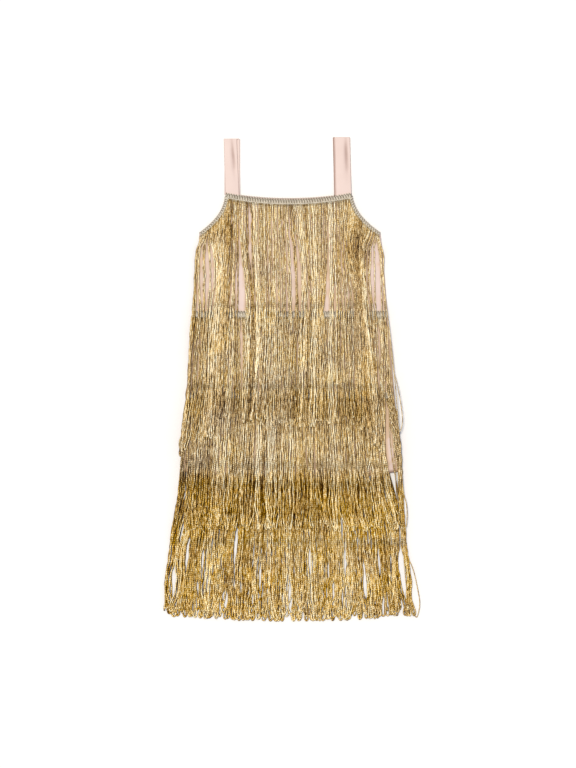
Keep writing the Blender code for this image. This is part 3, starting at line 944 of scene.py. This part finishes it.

# Tones of the cords, from 0 dark to 1 pale, with the back's cords set lower as painted shade, how much
# single cords differ, and the places of the front where they look deeper or paler; tier 3's deep bands
# just below the hem are painted shade.
CORD_TONE = {"front": 0.515, "back": 0.44}
CORD_TONE_SPREAD = 0.12
Patch = namedtuple("Patch", "x y width height change tiers")
PATCHES = [
    Patch(-95, 220, 15, 36, -0.14, (1,)),
    Patch(84, 205, 18, 36, -0.14, (1,)),
    Patch(-131, 226, 9, 12, -0.10, (1,)),
    Patch(114, 206, 15, 36, -0.30, (1,)),
    Patch(106, 130, 10, 40, -0.12, (1,)),
    Patch(-118, 240, 14, 20, -0.14, (1,)),
    Patch(0, -40, 175, 25, -0.15, (1, 2, 3)),
    Patch(0, -112, 150, 26, 0.05, (1, 2)),
    Patch(-155, 60, 7, 120, -0.12, (1, 2)),
    Patch(0, -378, 210, 14, 0.08, (3,)),
    Patch(112, -45, 30, 30, -0.10, (1, 2, 3)),
    # Painted shade: tier 3's cords just below the hem, shaded by the hem and the cords in front.
    Patch(0, -176, 200, 27, -0.47, (3,)),
    Patch(0, -222, 190, 20, -0.26, (3,)),
    Patch(0, -234, 190, 10, 0.07, (2,)),
    Patch(0, -176, 200, 30, -0.05, (2,)),
    Patch(0, -210, 200, 18, -0.09, (2,)),
    Patch(-155, -162, 22, 17, -0.14, (2,)),
    Patch(-131, 165, 13, 60, 0.20, (1,)),
    Patch(6, 186, 17, 62, 0.13, (1,)),
    Patch(129, 180, 15, 56, 0.15, (1,)),
    Patch(-60, 40, 90, 50, 0.06, (1,)),
    Patch(60, -10, 60, 30, 0.04, (1, 2)),
    Patch(100, -90, 80, 70, -0.06, (1, 2, 3)),
    Patch(90, 40, 60, 60, -0.05, (1, 2, 3)),
]

# Ends of the two lower tiers: their height in the middle, how much higher they are at the sides, and how
# much higher single loops may end
TIER_END = {2: -245.0 * MM, 3: -387.0 * MM}
TIER_END_RISE = {2: 4.0 * MM, 3: 9.0 * MM}
TIER_END_RANGE = 14.0 * MM

# Loops: the rings along half of a turn, and for each tier how far a loop's end swings aside and its
# greatest half width. Where two legs would end too far apart for one loop, the first hangs beside the
# second. A share of the loops that end close together cross their neighbours.
TURN_SAMPLES = 7
LOOP_ENDS = {1: (3.5 * MM, 1.5 * MM), 2: (7.0 * MM, 2.0 * MM), 3: (9.0 * MM, 3.2 * MM)}
LEGS_APART = 7.0 * MM
LEGS_BESIDE = 2.2 * MM
CROSSING_SHARE = 0.45
CROSSING_REACH = 14.0 * MM


def hermite(x, places, values, slopes):
    """Cubic curve through values at rising places with the given slopes, held level past both ends."""
    x = np.clip(x, places[0], places[-1])
    piece = np.clip(np.searchsorted(places, x, side="right") - 1, 0, len(places) - 2)
    width = places[piece + 1] - places[piece]
    t = (x - places[piece]) / width
    rows = np.arange(len(values))[:, None]
    return (
        values[rows, piece] * (2 * t**3 - 3 * t**2 + 1)
        + slopes[rows, piece] * width * (t**3 - 2 * t**2 + t)
        + values[rows, piece + 1] * (3 * t**2 - 2 * t**3)
        + slopes[rows, piece + 1] * width * (t**3 - t**2)
    )


def guided(tier, heading_x, y):
    """Place across of cords at heights below their heading, carried by the tier's guides."""
    table = np.array(GUIDES[tier]) * MM
    stations, headings, places = table[0, 1:], table[1:, 0], table[1:, 1:]
    at_stations = np.stack([np.interp(heading_x, headings, column) for column in places.T], axis=1)
    rising = stations[::-1]
    values = at_stations[:, ::-1]
    slopes = np.gradient(values, rising, axis=1)
    return hermite(y, rising, values, slopes)


def spindle(y, top, end):
    """A rounded window along the height: 0 at both ends and 1 in the middle."""
    middle, half = (top + end) / 2.0 * MM, (top - end) / 2.0 * MM
    return np.clip(1.0 - ((y - middle) / half) ** 2, 0.0, 1.0)


def parted(x, y, tier, side):
    """Sideways shift of cords at the partings and gatherings of a tier.

    A cord's side of a parting is where it is at the parting's middle height, so it never crosses over.
    Only the widest partings go through to the back.
    """
    shift = np.zeros_like(x)
    least = 0.0 if side == "front" else LEAST_THROUGH
    for parting in PARTINGS:
        if tier in parting.tiers and parting.half_gap > least:
            share = (parting.top * MM - y) / ((parting.top - parting.end) * MM)
            off = x - (parting.x + parting.lean * (share - 0.5)) * MM
            window = spindle(y, parting.top, parting.end)
            hand = np.sign(np.sum(off * window, axis=1, keepdims=True) + 1e-9)
            shift += hand * parting.half_gap * MM * np.exp(-np.abs(off) / PARTING_REACH) * window
    for gathering in GATHERINGS:
        if tier in gathering.tiers and side == "front":
            off = x - gathering.x * MM
            pull = gathering.pull * bell(off, gathering.reach * MM)
            shift -= off * pull * spindle(y, gathering.top, gathering.end)
    return shift


def smooth_waves(rng, y, wavelengths, amplitudes):
    """Sums of sines along the height with random phases, one wave for each wavelength and cord."""
    total = np.zeros(y.shape)
    for wavelength, amplitude in zip(wavelengths, amplitudes):
        phase = rng.uniform(0.0, 2.0 * np.pi, (len(y), 1))
        stretch = rng.uniform(0.75, 1.35, (len(y), 1))
        size = rng.uniform(0.4, 1.0, (len(y), 1)) * amplitude
        total += size * np.sin(2.0 * np.pi * y * stretch / wavelength + phase)
    return total


def bundled(rng, x, depth, bundle):
    """Draws neighbouring cords together in groups of random size, more and more below a depth.

    A cord moves towards the middle of its group by no more than a share of a fixed reach.
    """
    count = x.shape[0]
    ends = np.cumsum(rng.integers(bundle.least, bundle.most + 1, count))
    group = np.searchsorted(ends, np.arange(count), side="right")
    member = (group[:, None] == np.arange(group.max() + 1)).astype(float)
    mean = (member.T @ x) / member.sum(axis=0)[:, None]
    power = rng.uniform(0.2, 1.0, group.max() + 1)[group][:, None] * bundle.strength
    span = (bundle.full - bundle.start) * MM
    share = ease(np.clip((depth - bundle.start * MM) / span, 0.0, 1.0))
    return x + np.clip(mean[group] - x, -BUNDLE_REACH, BUNDLE_REACH) * power * share


def twisted(twist, top_x, x, y, lift):
    """Winds the outermost cords round their middle line, each at its own angle of the rope."""
    members = top_x > twist.heading * MM
    window = spindle(y[members], twist.top, twist.end)
    start = np.linspace(0.0, 2.0 * np.pi, members.sum(), endpoint=False)[:, None]
    angle = start + 2.0 * np.pi * y[members] / (twist.pitch * MM)
    middle = x[members].mean(axis=0)
    x, lift = x.copy(), lift.copy()
    x[members] += window * (0.7 * (middle - x[members]) + twist.radius * MM * np.cos(angle))
    lift[members] += window * 0.4 * twist.radius * MM * np.sin(angle)
    return x, lift


def heading_places(rng, tier, side, legs):
    """Where the cords of a tier start: evenly spaced along its heading, a little uneven."""
    share = (np.arange(legs) + 0.5 + rng.uniform(-0.22, 0.22, legs)) / legs
    left, right = TIER_SIDES[tier]
    x = np.linspace(left, right, 600)
    y = tier_1_heading(x, side) if tier == 1 else np.full(len(x), TIER_TOP[tier])
    along = np.concatenate([[0.0], np.cumsum(np.hypot(np.diff(x), np.diff(y)))])
    start_x = np.interp((0.004 + 0.992 * share) * along[-1], along, x)
    start_y = np.interp(start_x, x, y)
    return start_x + lean(start_y) * (tier == 1), start_y


def fringe_legs(rng, tier, side, loops, samples):
    """Paths of a tier's cords from heading to end, before the two legs of each loop are joined.

    A cord starts at its place along the heading and is carried across by the guides on its way down.
    On top of that come the partings and gatherings, bundles of neighbours, a slow wander that grows
    downwards and a fine crinkle. Where an open place would come between the two legs of a loop, the
    first leg hangs beside the second.
    """
    top_x, top_y = heading_places(rng, tier, side, loops * 2)
    pair_y = top_y.reshape(loops, 2).mean(axis=1)
    if tier == 1:
        end_y = pair_y - CORD_LENGTH
    else:
        spread = top_x.reshape(loops, 2).mean(axis=1) / TIER_SIDES[tier][1]
        end_y = TIER_END[tier] + TIER_END_RISE[tier] * spread**2
    end_y = end_y + rng.uniform(0.0, 1.0, loops) ** 1.5 * TIER_END_RANGE
    turn_start = end_y + rng.uniform(3.0 * MM, 8.0 * MM, loops)
    even = np.linspace(0.0, 1.0, samples - TURN_SAMPLES)
    main = even * (1.35 - 0.35 * even)
    start = top_y[:, None] + 1.5 * MM
    y = start + main * (np.repeat(turn_start, 2)[:, None] - start)
    depth = start - y
    drop = depth / CORD_LENGTH
    hang = ease(np.clip(depth / (26.0 * MM), 0.0, 1.0))
    x = top_x[:, None] + (guided(tier, top_x, y) - top_x[:, None]) * hang
    x = x + parted(x, y, tier, side) * hang
    for bundle in BUNDLES:
        x = bundled(rng, x, depth, bundle)
    split = 2 * np.flatnonzero(np.abs(x[1::2, -1] - x[0::2, -1]) > LEGS_APART)
    x[split] = x[split + 1] - LEGS_BESIDE
    lift = smooth_waves(rng, y, (40 * MM, 95 * MM), (0.5 * MM, 0.6 * MM))
    if side == "front" and tier in TWISTS:
        x, lift = twisted(TWISTS[tier], top_x, x, y, lift)
    wander = smooth_waves(rng, y, (70 * MM, 150 * MM, 300 * MM), (0.7 * MM, 1.2 * MM, 1.6 * MM))
    crinkle = smooth_waves(rng, y, (12 * MM, 18 * MM, 32 * MM), (0.20 * MM, 0.36 * MM, 0.50 * MM))
    x = x + wander * hang * (0.35 + 0.9 * drop) + crinkle * hang
    return x, y, lift, turn_start, end_y


def join_loops(rng, swing, width, x, y, lift, turn_start, end_y):
    """Joins legs two by two into loops: down one leg, round an elliptical end and up the other.

    Legs are matched inside small blocks, and a loop's end swings to one side, so that loops cross their
    neighbours. The turn is as wide as the legs are apart and follows an ellipse by angle.
    """
    loops = len(end_y)
    angle = np.linspace(0.0, np.pi / 2.0, TURN_SAMPLES + 1)[1:]
    order = np.arange(loops * 2)
    for start in range(0, loops * 2 - 3, 4):
        if rng.uniform() < CROSSING_SHARE and np.ptp(x[start:start + 4, -1]) < CROSSING_REACH:
            order[start:start + 4] = order[start:start + 4][[0, 2, 1, 3]]
    first, second = order[0::2], order[1::2]
    swing_length = rng.uniform(26.0 * MM, 56.0 * MM, loops)[:, None]
    middle = (x[first, -1] + x[second, -1]) / 2.0 + rng.uniform(-swing, swing, loops)
    half = np.clip(np.abs(x[first, -1] - x[second, -1]) / 2.0, 0.7 * width, width)
    sides = np.sign(x[second, -1] - x[first, -1] + 1e-9)
    legs = []
    for index, way in ((first, -1.0), (second, 1.0)):
        leg_x, leg_y, leg_z = x[index].copy(), y[index], lift[index].copy()
        reach = np.clip(1.0 - (leg_y - leg_y[:, -1:]) / swing_length, 0.0, 1.0) ** 1.6
        goal = middle + way * sides * half
        leg_x += (goal - leg_x[:, -1])[:, None] * reach
        turn_x = middle[:, None] + (way * sides * half)[:, None] * np.cos(angle)
        turn_y = turn_start[:, None] + (end_y - turn_start)[:, None] * np.sin(angle)
        turn_z = leg_z[:, -1:] * (1.0 - np.sin(angle))
        legs.append(np.stack([
            np.concatenate([leg_x, turn_x], axis=1),
            np.concatenate([leg_y, turn_y], axis=1),
            np.concatenate([leg_z, turn_z], axis=1),
        ], axis=-1))
    return np.concatenate([legs[0], legs[1][:, -2::-1]], axis=1)


# Stray cords: for a tier, the points of a loop that leaves the rest
STRAYS = {
    (3, "front"): [
        [(161, -33), (167, -150), (176, -240), (186, -280), (196, -305), (203, -335), (206.5, -360),
         (202, -380), (197, -374), (191, -362), (184, -320), (174, -200), (160, -110), (157, -33)],
    ],
    (2, "front"): [
        [(151, 96), (163, -20), (173, -110), (180, -178), (185, -200), (186, -220), (184, -236),
         (178, -230), (177, -190), (168, -90), (148, 96)],
        [(151, 96), (160, -60), (171, -120), (174, -190), (160, -206), (140, -220), (128, -229),
         (122, -238), (119, -232), (122, -200), (126, -100), (130, 96)],
        [(-146, 96), (-152, -60), (-149, -170), (-146, -190), (-137, -224), (-130, -244), (-135, -248),
         (-146, -228), (-156, -180), (-158, -60), (-150, 96)],
    ],
    (1, "front"): [
        [(140, 226), (155, 100), (163, 22), (170, -8), (177, -48), (178, -72), (173, -84), (171, -60),
         (168, -20), (160, 60), (138, 228)],
    ],
}


def smooth_route(points, count):
    """A smooth curve through given points: cubic pieces with the tangents of their neighbours."""
    points = np.array(points).T * MM
    places = np.arange(points.shape[1]).astype(float)
    slopes = np.gradient(points, axis=1)
    along = np.linspace(0.0, places[-1], count)
    return hermite(np.broadcast_to(along, (2, count)), places, points, slopes).T


def cord_level(tier, side, x, y):
    """Height of the layer under a tier: its packed wall's lower face, sinking outside the shell's sides."""
    level = face_profile(f"fringe_{tier}_{side}", True)(y)
    if side == "front":
        shell = 3.0 * MM
        above_hem = np.clip((y - (HEM_CORNER_HEIGHT - HEM_DROP["back"])) / (10.0 * MM), 0.0, 1.0)
        level = level - shell * above_hem * (1.0 - shell_cover(x, y))
    return level


def fringe_tones(rng, tier, side, paths):
    """Tone of each cord: its own tone, set lower on the back as painted shade, and darker or lighter by
    place, with painted shade on tier 3 below the hem.
    """
    own = CORD_TONE[side] + CORD_TONE_SPREAD * rng.standard_normal((len(paths), 1)).clip(-1.7, 2.0)
    x, y = paths[..., 0], paths[..., 1]
    change = np.zeros(x.shape)
    for patch in PATCHES:
        if tier in patch.tiers and side == "front":
            off_x = (x - patch.x * MM) / (patch.width * MM)
            off_y = (y - patch.y * MM) / (patch.height * MM)
            change += patch.change * np.exp(-(off_x**2 + off_y**2))
    return own + change


# Painted bounce light of the gold on the satin: the cells that cords are counted in, the share of the usual
# count that is full cover, and the cover where the painted bounce light starts and over which it grows
PAINTED_BOUNCE_CELL = (4.0 * MM, 12.0 * MM)
PAINTED_BOUNCE_FULL = 0.55
PAINTED_BOUNCE_START = 0.3
PAINTED_BOUNCE_RANGE = 0.6


def add_painted_bounce(panel, points):
    """Gives a panel's points their share of painted bounce light from the gold: how closely cords cover it
    there, 0 in open places and 1 under full cover.

    The cords' points are counted in cells, and a cell's cover is averaged with its neighbours' across.
    """
    cell_x, cell_y = PAINTED_BOUNCE_CELL
    edges_x = np.arange(-HEM_HALF_WIDTH, HEM_HALF_WIDTH + cell_x, cell_x)
    edges_y = np.arange(HEM_CORNER_HEIGHT - 20.0 * MM, NECK_HEIGHT + cell_y, cell_y)
    counts = np.histogram2d(points[:, 0], points[:, 1], bins=(edges_x, edges_y))[0]
    cover = np.pad(counts, 1, mode="edge")
    cover = 0.25 * cover[:-2, 1:-1] + 0.5 * cover[1:-1, 1:-1] + 0.25 * cover[2:, 1:-1]
    place = np.empty(len(panel.data.vertices) * 3)
    panel.data.vertices.foreach_get("co", place)
    place = place.reshape(-1, 3)
    column = np.clip(((place[:, 0] - edges_x[0]) / cell_x).astype(int), 0, cover.shape[0] - 1)
    row = np.clip(((place[:, 1] - edges_y[0]) / cell_y).astype(int), 0, cover.shape[1] - 1)
    full = PAINTED_BOUNCE_FULL * np.median(counts[counts > 0.0])
    painted_bounce = np.clip((cover[column, row] / full - PAINTED_BOUNCE_START) / PAINTED_BOUNCE_RANGE, 0.0, 1.0)
    attribute = panel.data.attributes.new("painted_bounce", "FLOAT", "POINT")
    attribute.data.foreach_set("value", painted_bounce.astype(np.float32))


class DRESS_OT_fringe(bpy.types.Operator):
    """Make the three tiers of looped cord fringe on the front and the back"""

    bl_idname = "dress.make_fringe"
    bl_label = "Cord fringe"

    def execute(self, context):
        settings = context.scene.dress_fringe
        material = gold_cord_material(settings)
        counts = {1: settings.loops_1, 2: settings.loops_2, 3: settings.loops_3}
        samples = {"front": settings.front_samples, "back": settings.back_samples}
        for side_number, side in enumerate(SIDES):
            covering = []
            for tier in TIERS:
                rng = np.random.default_rng(settings.seed + 10 * side_number + tier)
                legs = fringe_legs(rng, tier, side, counts[tier], samples[side])
                paths = join_loops(rng, *LOOP_ENDS[tier], *legs)
                diameter = settings.cord_diameter if side == "front" else settings.back_diameter
                radius = np.full((len(paths), 1), diameter / 2.0)
                for stray in STRAYS.get((tier, side), []):
                    route = smooth_route(stray, paths.shape[1])
                    lifted = np.concatenate([route, np.full((len(route), 1), 0.4 * MM)], axis=1)
                    paths = np.concatenate([paths, lifted[None]])
                    radius = np.append(radius, [[settings.stray_diameter / 2.0]], axis=0)
                room = settings.cord_lift
                height = cord_level(tier, side, paths[..., 0], paths[..., 1])
                layer = rng.uniform(0.0, room, (len(paths), 1))
                swell = 1.0 + CORD_SWELL * rng.standard_normal(paths.shape[:2]).clip(-2.0, 2.0)
                thickest = (1.0 + 2.0 * CORD_SWELL) * radius
                paths[..., 2] = height + thickest + np.clip(layer + paths[..., 2], 0.0, 2.0 * room)
                points, face_sets, uv = tubes(paths, radius * swell, CORD_SIDES)
                tone = np.repeat(fringe_tones(rng, tier, side, paths).ravel(), CORD_SIDES)
                name = f"cord_fringe_{tier}_{side}"
                piece = make_object(name, points, face_sets, material, uv=uv, tone=tone)
                settle(piece, "gold_cord", f"fringe_{tier}_{side}")
                covering.append(paths.reshape(-1, 3))
            add_painted_bounce(bpy.data.objects[f"shell_{side}"], np.concatenate(covering))
        return {"FINISHED"}


# ---------------------------------------------------------------- Stage


FLOOR_HALF_SIZE = 3.0
FLOOR_CLEARANCE = 0.05 * MM

# The camera's lens and the width of its sensor, in millimetres as Blender takes them
LENS = 135.0
SENSOR = 36.0


class DRESS_OT_stage(bpy.types.Operator):
    """Make the pale floor, the soft light and the camera that looks straight down"""

    bl_idname = "dress.make_stage"
    bl_label = "Floor, lights and camera"

    def execute(self, context):
        settings = context.scene.dress_stage
        scene = context.scene
        ways = np.array([[-1.0, -1.0, 0.0], [1.0, -1.0, 0.0], [1.0, 1.0, 0.0], [-1.0, 1.0, 0.0]])
        corners = ways * FLOOR_HALF_SIZE + [0.0, 0.0, -FLOOR_CLEARANCE]
        nodes = Nodes("pale_floor")
        paper = nodes.noise(nodes.place(), 60.0, 3.0, 0.5)
        colour = nodes.ramp(paper, [(0.3, (0.965, 0.945, 0.94)), (0.7, (0.98, 0.96, 0.95))])
        material = nodes.finish(Base_Color=colour, Roughness=0.9, Specular_IOR_Level=0.1)
        floor = make_object("floor", corners, [np.array([[0, 1, 2, 3]])], material, smooth=False)

        world = bpy.data.worlds.new("soft_box")
        world.use_nodes = True
        surround = world.node_tree.nodes["Background"].inputs
        surround["Color"].default_value = (*settings.ambient_colour, 1.0)
        surround["Strength"].default_value = settings.ambient
        scene.world = world
        lamp = bpy.data.lights.new("overhead_light", "SUN")
        lamp.energy = settings.key_strength
        lamp.color = settings.key_colour
        lamp.angle = settings.key_size
        light = bpy.data.objects.new("overhead_light", lamp)
        light.location = (-0.5, 0.5, 2.5)
        light.rotation_euler = (-settings.key_tilt_y, -settings.key_tilt_x, 0.0)
        scene.collection.objects.link(light)

        camera_data = bpy.data.cameras.new("overhead_camera")
        camera_data.lens = LENS
        camera_data.sensor_width = SENSOR
        camera = bpy.data.objects.new("overhead_camera", camera_data)
        camera.location = (settings.view_x, settings.view_y, settings.view_height * LENS / SENSOR)
        scene.collection.objects.link(camera)
        scene.camera = camera
        scene.view_settings.view_transform = "Standard"
        return {"FINISHED"}


# ---------------------------------------------------------------- Settings, panel and run


def colour_property(name, description, display):
    """A colour setting whose default is a display colour."""
    return bpy.props.FloatVectorProperty(
        name=name, description=description, default=linear(display), subtype="COLOR", min=0.0, max=1.0,
    )


def length_property(name, description, metres):
    """A length setting."""
    return bpy.props.FloatProperty(
        name=name, description=description, default=metres, unit="LENGTH", precision=5,
    )


def number_property(name, description, default):
    """A setting that is a plain number."""
    return bpy.props.FloatProperty(name=name, description=description, default=default)


def count_property(name, description, default):
    """A setting that is a whole number."""
    return bpy.props.IntProperty(name=name, description=description, default=default)


def angle_property(name, description, degrees):
    """An angle setting whose default is in degrees."""
    return bpy.props.FloatProperty(
        name=name, description=description, default=float(np.radians(degrees)), subtype="ANGLE",
    )


class DressCloth(bpy.types.PropertyGroup):
    """Settings of the shell and the straps"""

    cloth_blush: colour_property("Blush", "Main colour of the shell and straps", (224, 199, 190))
    # Blush shade also carries painted shade: at the hem's edge, along the top edge, in the strap creases and
    # on the covered strap edge.
    cloth_shade: colour_property("Blush shade", "Colour at turned edges and stitches", (160, 126, 114))
    cloth_light: colour_property("Blush light", "Colour where the satin is palest", (236, 215, 207))
    # Painted bounce light: the gold that close cords are painted as throwing on the satin, and its share.
    painted_bounce_colour: colour_property("Glow", "Colour that close cords throw on the satin", (206, 164, 104))
    painted_bounce_strength: number_property("Glow strength", "Share of the glow", 0.66)
    cloth_thickness: length_property("Cloth thickness", "Thickness of the satin", 0.9 * MM)
    thread_pitch: length_property("Thread pitch", "Distance between threads of the weave", 0.45 * MM)


class DressTape(bpy.types.PropertyGroup):
    """Settings of the gimp tapes"""

    gimp_light: colour_property("Gimp light", "Pale silver-gold of the gimp yarn", (232, 223, 205))
    gimp_dark: colour_property("Gimp dark", "Grey gold between the yarns", (118, 102, 80))


class DressFringe(bpy.types.PropertyGroup):
    """Settings of the cord fringe"""

    loops_1: count_property("Tier 1 loops", "Loops in the top tier", 72)
    loops_2: count_property("Tier 2 loops", "Loops in the middle tier", 66)
    loops_3: count_property("Tier 3 loops", "Loops in the bottom tier", 80)
    front_samples: count_property("Front rings", "Rings along a front leg", 98)
    back_samples: count_property("Back rings", "Rings along a back leg", 70)
    cord_diameter: length_property("Cord diameter", "Thickness of one cord", 2.3 * MM)
    back_diameter: length_property("Back cord diameter", "Thickness of one cord of the back", 3.1 * MM)
    stray_diameter: length_property("Stray diameter", "Thickness of a cord that has strayed", 1.5 * MM)
    cord_lift: length_property("Cord lift", "How much the cords of a tier ride over each other", 1.0 * MM)
    cord_twist: length_property("Cord twist", "Length of one turn of the twist", 3.4 * MM)
    # The darkest gold is painted shade in the twist's grooves, and the palest gold a painted glint.
    cord_dark: colour_property("Cord dark", "Darkest gold, in the twist's grooves", (72, 42, 5))
    cord_deep: colour_property("Cord deep", "Deep gold", (165, 125, 50))
    cord_gold: colour_property("Cord gold", "Main gold", (220, 187, 120))
    cord_pale: colour_property("Cord pale", "Palest gold, where the cord glints", (255, 242, 204))
    richness_above: number_property("Richness above hem", "Saturation of the gold over the shell", 0.88)
    richness_below: number_property("Richness below hem", "Saturation of the gold below the shell", 1.075)
    seed: count_property("Seed", "Choice of the cords' random fall", 3)


class DressStage(bpy.types.PropertyGroup):
    """Settings of the light and the view"""

    ambient: number_property("Ambient", "Strength of the surround", 0.48)
    ambient_colour: colour_property("Ambient colour", "Colour of the surround", (229, 238, 255))
    key_strength: number_property("Key light", "Strength of the overhead light", 2.4)
    key_colour: colour_property("Key colour", "Colour of the overhead light", (255, 248, 234))
    key_size: angle_property("Key size", "Angle that the overhead light fills", 14.0)
    key_tilt_x: angle_property("Key tilt left", "How far the light leans to the left", 8.0)
    key_tilt_y: angle_property("Key tilt up", "How far the light leans towards the shoulders", 8.0)
    view_x: length_property("View centre X", "Place across that the camera is over", -4.0 * MM)
    view_y: length_property("View centre Y", "Height along that the camera is over", -8.0 * MM)
    view_height: length_property("View height", "Length of the surface that fills the view", 1228.8 * MM)


class DRESS_PT_panel(bpy.types.Panel):
    """Lists the pieces of the dress and their settings"""

    bl_label = "Flapper Dress"
    bl_space_type = "VIEW_3D"
    bl_region_type = "UI"
    bl_category = "Dress"

    def draw(self, context):
        for operator in OPERATORS:
            self.layout.operator(operator.bl_idname)
        for group in GROUPS:
            settings = getattr(context.scene, GROUPS[group])
            box = self.layout.box()
            for key in group.__annotations__:
                box.prop(settings, key)


GROUPS = {
    DressCloth: "dress_cloth",
    DressTape: "dress_tape",
    DressFringe: "dress_fringe",
    DressStage: "dress_stage",
}
OPERATORS = (DRESS_OT_shell, DRESS_OT_straps, DRESS_OT_tapes, DRESS_OT_fringe, DRESS_OT_stage)
CLASSES = (*GROUPS, *OPERATORS, DRESS_PT_panel)


def register():
    """Registers the settings, operators and panel, and puts the settings on the scene."""
    for cls in CLASSES:
        bpy.utils.register_class(cls)
    for group, name in GROUPS.items():
        setattr(bpy.types.Scene, name, bpy.props.PointerProperty(type=group))


def unregister():
    """Takes the settings, operators and panel away again."""
    for name in GROUPS.values():
        delattr(bpy.types.Scene, name)
    for cls in reversed(CLASSES):
        bpy.utils.unregister_class(cls)


def declare_sheets():
    """Builds, for each panel, a list of the names of the tapes and fringe sewn on it; the lists are not
    used.
    """
    for side in SIDES:
        trims = [f"neck_gimp_{side}"]
        trims += [f"armhole_gimp_{hand}_{side}" for hand in HANDS]
        trims += [f"tier_{tier}_gimp_{side}" for tier in TIERS[1:]]
        trims += [f"cord_fringe_{tier}_{side}" for tier in TIERS]


def main():
    """Makes the whole dress and its stage."""
    register()
    bpy.ops.dress.make_shell()
    bpy.ops.dress.make_straps()
    bpy.ops.dress.make_tapes()
    bpy.ops.dress.make_fringe()
    bpy.ops.dress.make_stage()
    declare_sheets()
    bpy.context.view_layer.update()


if __name__ == "__main__":
    main()
